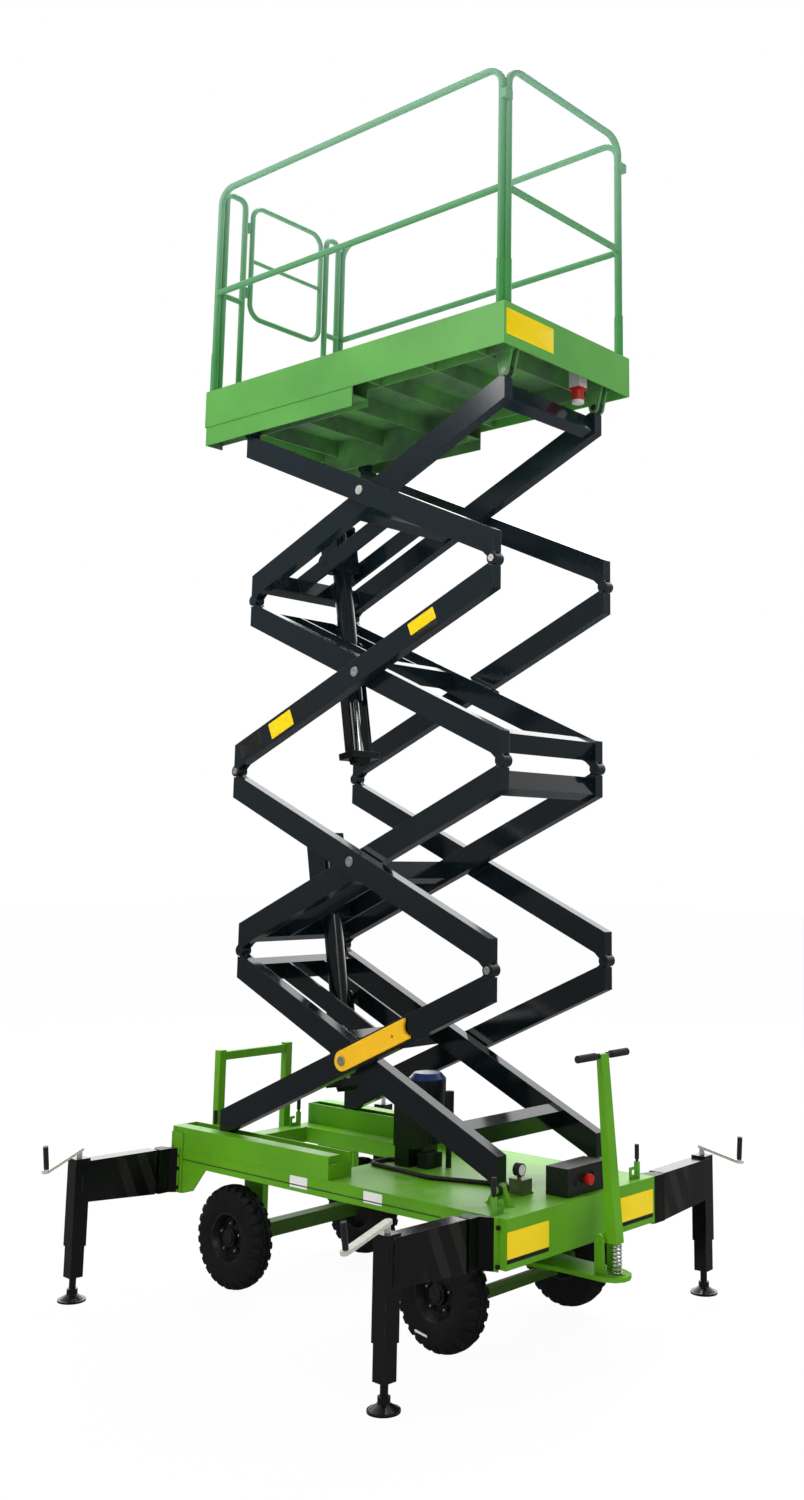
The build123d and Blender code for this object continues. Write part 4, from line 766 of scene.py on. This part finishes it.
class LIFT_OT_spring(bpy.types.Operator):
    """The return spring: a round wire along a helix with closed end turns"""

    bl_idname = "lift.spring"
    bl_label = "Return spring"

    def execute(self, context):
        low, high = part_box("return_spring")
        centre = (low + high) / 2
        turns = 9.0
        t = np.linspace(0.0, 1.0, 260)
        wire = 0.0032
        rise = np.interp(t, (0, 0.1, 0.9, 1.0), (0.0, 0.03, 0.97, 1.0))
        z = low.z + wire + (high.z - low.z - 2 * wire) * rise
        a = 2 * np.pi * turns * t
        r = (high.x - low.x) / 2 - wire
        path = np.stack((centre.x + r * np.cos(a), centre.y + r * np.sin(a), z), -1)
        verts, faces = tube(path, wire, 10)
        coil = mesh_piece("spring_coil", verts, faces, "steel", "drawbar")
        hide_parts("return_spring")
        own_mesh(coil)
        return {"FINISHED"}


class LIFT_OT_bolts(bpy.types.Operator):
    """Hexagon bolt heads on the front box and the rear brackets, and the gauge's dial"""

    bl_idname = "lift.bolts"
    bl_label = "Bolts"

    def execute(self, context):
        table = (
            ("bolts_front", ((0.0925, 0.517), (0.1235, 0.513), (0.0895, 0.383), (0.1215, 0.382))),
            ("bolts_rear", ((-1.680, 0.516), (-1.676, 0.463), (-1.711, 0.380), (-1.6705, 0.386))),
        )
        dial = cap(0.0195, 0.0015, (PIN_X - 0.046, -0.123, GAUGE_Z), (1, 0, 0))
        mesh_piece("gauge_dial", dial[0], dial[1], "white", "chassis")
        for name, heads in table:
            parts = [
                nut(0.0085, 0.008, (PIN_X + dx, side * BEAM_FACE, z), (0, side, 0))
                for dx, z in heads for side in (-1, 1)
            ]
            verts, faces = joined(parts)
            mesh_piece(name, verts, faces, "leg", "chassis")
        return {"FINISHED"}


class LIFT_OT_plates(bpy.types.Operator):
    """Blank plates and coloured strips on the beams, arms and platform, and a painted shadow line along the
    near beam
    """

    bl_idname = "lift.plates"
    bl_label = "Plates"

    def execute(self, context):
        x, y, z = np.eye(3)
        front, side = FRONT_FACE, -BEAM_FACE
        table = [
            ("plate_front_near", "yellow", 0.240, 0.091, (front, -0.3400, 0.4555), y, z, "chassis"),
            ("plate_front_far", "yellow", 0.229, 0.091, (front, 0.3455, 0.4555), y, z, "chassis"),
            ("strip_front_near", "ink", 0.240, 0.014, (front, -0.3400, 0.4015), y, z, "chassis"),
            ("strip_front_far", "ink", 0.229, 0.014, (front, 0.3455, 0.4015), y, z, "chassis"),
            # A thin dark strip on the near beam: a painted shadow line at the step in the beam.
            ("shadow_line_near", "shade", 1.560, 0.005, (PIN_X - 0.930, side, 0.5030), x, z, "chassis"),
            ("tyre_mark", "white", 0.064, 0.009, (PIN_X - 0.273, -0.4293, 0.075),
             (0.987, 0, -0.16), (0.16, 0, 0.987), "wheel_near_front"),
            ("plate_beam_rear", "white", 0.102, 0.044, (PIN_X - 0.916, side, 0.514), x, z, "chassis"),
            ("plate_beam_front", "white", 0.100, 0.042, (PIN_X - 0.501, side, 0.516), x, z, "chassis"),
            ("plate_platform", "yellow", 0.307, 0.108, (PLATFORM_FRONT, -0.269, 3.905), y, z, "platform"),
        ]
        for name, colour, w, h, place, right, up, body in table:
            thick = 0.0012 if body == "chassis" else 0.0007
            verts, faces = plate(w, h, thick, place, right, up, min(0.004, 0.4 * h))
            mesh_piece(name, verts, faces, colour, body)
        centre, along, across = arm_frame(3, 1)
        on_arm = (
            ("plate_arm_top", "yellow", 0.418, 0.150, 0.052, 0.010),
            ("plate_arm_strip", "ink", 0.418, 0.150, 0.030, -0.034),
            ("plate_low_a", "ink", -0.70, 0.150, 0.072, 0.0),
            ("plate_low_b", "yellow", -0.49, 0.150, 0.072, 0.0),
            ("plate_low_c", "ink", -0.36, 0.100, 0.072, 0.0),
        )
        for name, colour, u, w, h, off in on_arm:
            place = centre + u * along + off * across + np.array((0, -OUTER_FACE, 0))
            verts, faces = plate(w, h, 0.001, place, along, across)
            mesh_piece(name, verts, faces, colour, "outer_3")
        return {"FINISHED"}


class LIFT_OT_stage(bpy.types.Operator):
    """Floor, soft studio lights and the camera at the photograph's place"""

    bl_idname = "lift.stage"
    bl_label = "Stage"

    def execute(self, context):
        cfg = context.scene.lift_stage
        scene = context.scene
        verts = ((-40, -40, 0), (40, -40, 0), (40, 40, 0), (-40, 40, 0))
        mesh = bpy.data.meshes.new("floor")
        mesh.from_pydata(verts, [], [(0, 1, 2, 3)])
        floor = bpy.data.objects.new("floor", mesh)
        scene.collection.objects.link(floor)
        s = Shader("floor_pale")
        s.put(Base_Color=(0.86, 0.86, 0.86, 1), Roughness=0.9)
        light = s.node("ShaderNodeEmission", inputs={"Color": (1, 1, 1, 1), "Strength": 1.0})
        seen = s.node("ShaderNodeLightPath", out="Is Camera Ray")
        out = s.tree.nodes["Material Output"]
        lit = Sock(s.tree, s.bsdf.outputs[0])
        made = s.node("ShaderNodeMixShader", inputs={0: seen * 0.96, 1: lit, 2: light})
        mirrored = s.node("ShaderNodeLightPath", out="Is Glossy Ray")
        strength = cfg.floor_seen_in_paint
        dim = s.node("ShaderNodeEmission", inputs={"Color": (1, 1, 1, 1), "Strength": strength})
        made = s.node("ShaderNodeMixShader", inputs={0: mirrored, 1: made, 2: dim})
        s.tree.links.new(made.out, out.inputs["Surface"])
        mesh.materials.append(s.mat)

        world = bpy.data.worlds.new("studio")
        world.use_nodes = True
        tree = world.node_tree
        back = tree.nodes["Background"]
        seen = Sock(tree, tree.nodes.new("ShaderNodeLightPath").outputs["Is Camera Ray"])
        where = tree.nodes.new("ShaderNodeTexCoord").outputs["Generated"]
        facing = tree.nodes.new("ShaderNodeVectorMath")
        facing.operation = "DOT_PRODUCT"
        tree.links.new(where, facing.inputs[0])
        facing.inputs[1].default_value = BRIGHT_SIDE
        bright = Sock(tree, facing.outputs["Value"]).ramp(0.30, 0.92)
        sky = cfg.sky_low + bright * (cfg.sky_high - cfg.sky_low)
        back.inputs["Color"].default_value = (1.0, 1.0, 1.0, 1)
        tree.links.new((sky + seen * (1.0 - sky)).out, back.inputs["Strength"])
        scene.world = world
        scene.view_settings.view_transform = "Standard"

        for name, place, size, power, aim in (
            ("key", (-2.5, -6.5, 7.0), 4.0, cfg.key, (0, 0, 2.2)),
            ("fill", (7.5, -3.0, 4.5), 3.5, cfg.key * 0.4, (0, 0, 2.0)),
            ("rear", (-2.6, 6.4, 6.4), 5.5, cfg.key * 1.9, (0, 0, 1.0)),
            ("top", (-0.5, 1.5, 9.5), 4.0, cfg.key * 1.3, (0, 0, 0.5)),
        ):
            data = bpy.data.lights.new(name, "AREA")
            data.shape = "DISK"
            data.size = size
            data.energy = power
            lamp = bpy.data.objects.new(name, data)
            scene.collection.objects.link(lamp)
            lamp.location = place
            lamp.visible_glossy = name != "rear"
            lamp.rotation_mode = "QUATERNION"
            lamp.rotation_quaternion = (Vector(aim) - Vector(place)).to_track_quat("-Z", "Y")

        az, el, roll = map(math.radians, CAMERA_TURN)
        fw = Vector((-math.sin(az) * math.cos(el), math.cos(az) * math.cos(el), math.sin(el)))
        right = Vector((math.cos(az), math.sin(az), 0.0))
        up = right.cross(fw)
        r2 = math.cos(roll) * right + math.sin(roll) * up
        u2 = -math.sin(roll) * right + math.cos(roll) * up
        data = bpy.data.cameras.new("camera")
        data.sensor_width = SENSOR
        data.lens = cfg.focal_px / PHOTO_H * SENSOR
        data.shift_x = (PHOTO_W / 2 - CENTRE_PX[0]) / PHOTO_H
        data.shift_y = (CENTRE_PX[1] - PHOTO_H / 2) / PHOTO_H
        data.clip_end = 100.0
        camera = bpy.data.objects.new("camera", data)
        scene.collection.objects.link(camera)
        turn = Matrix((r2, u2, -fw)).transposed().to_4x4()
        camera.matrix_world = Matrix.Translation(CAMERA_PLACE) @ turn
        scene.camera = camera
        return {"FINISHED"}


PIECES = (
    LIFT_OT_materials, LIFT_OT_tyres, LIFT_OT_wheel_nuts, LIFT_OT_pin_caps,
    LIFT_OT_spring, LIFT_OT_bolts, LIFT_OT_plates, LIFT_OT_stage,
)


class LIFT_PT_panel(bpy.types.Panel):
    """Sidebar panel with a button for each operator"""

    bl_label = "Lift table"
    bl_idname = "LIFT_PT_panel"
    bl_space_type = "VIEW_3D"
    bl_region_type = "UI"
    bl_category = "Lift Table"

    def draw(self, context):
        for group in (context.scene.lift_tyres, context.scene.lift_pins, context.scene.lift_stage):
            for key in group.bl_rna.properties.keys():
                if key not in ("rna_type", "name"):
                    self.layout.prop(group, key)
        for piece in PIECES:
            self.layout.operator(piece.bl_idname)


GROUPS = (("lift_tyres", TyreSettings), ("lift_pins", PinSettings), ("lift_stage", StageSettings))


def register():
    for name, group in GROUPS:
        bpy.utils.register_class(group)
        setattr(bpy.types.Scene, name, PointerProperty(type=group))
    for made in PIECES + (LIFT_PT_panel,):
        bpy.utils.register_class(made)


def unregister():
    for made in reversed(PIECES + (LIFT_PT_panel,)):
        bpy.utils.unregister_class(made)
    for name, group in reversed(GROUPS):
        delattr(bpy.types.Scene, name)
        bpy.utils.unregister_class(group)


def main():
    register()
    for piece in PIECES:
        group, name = piece.bl_idname.split(".")
        getattr(getattr(bpy.ops, group), name)()


if __name__ == "__main__":
    main()
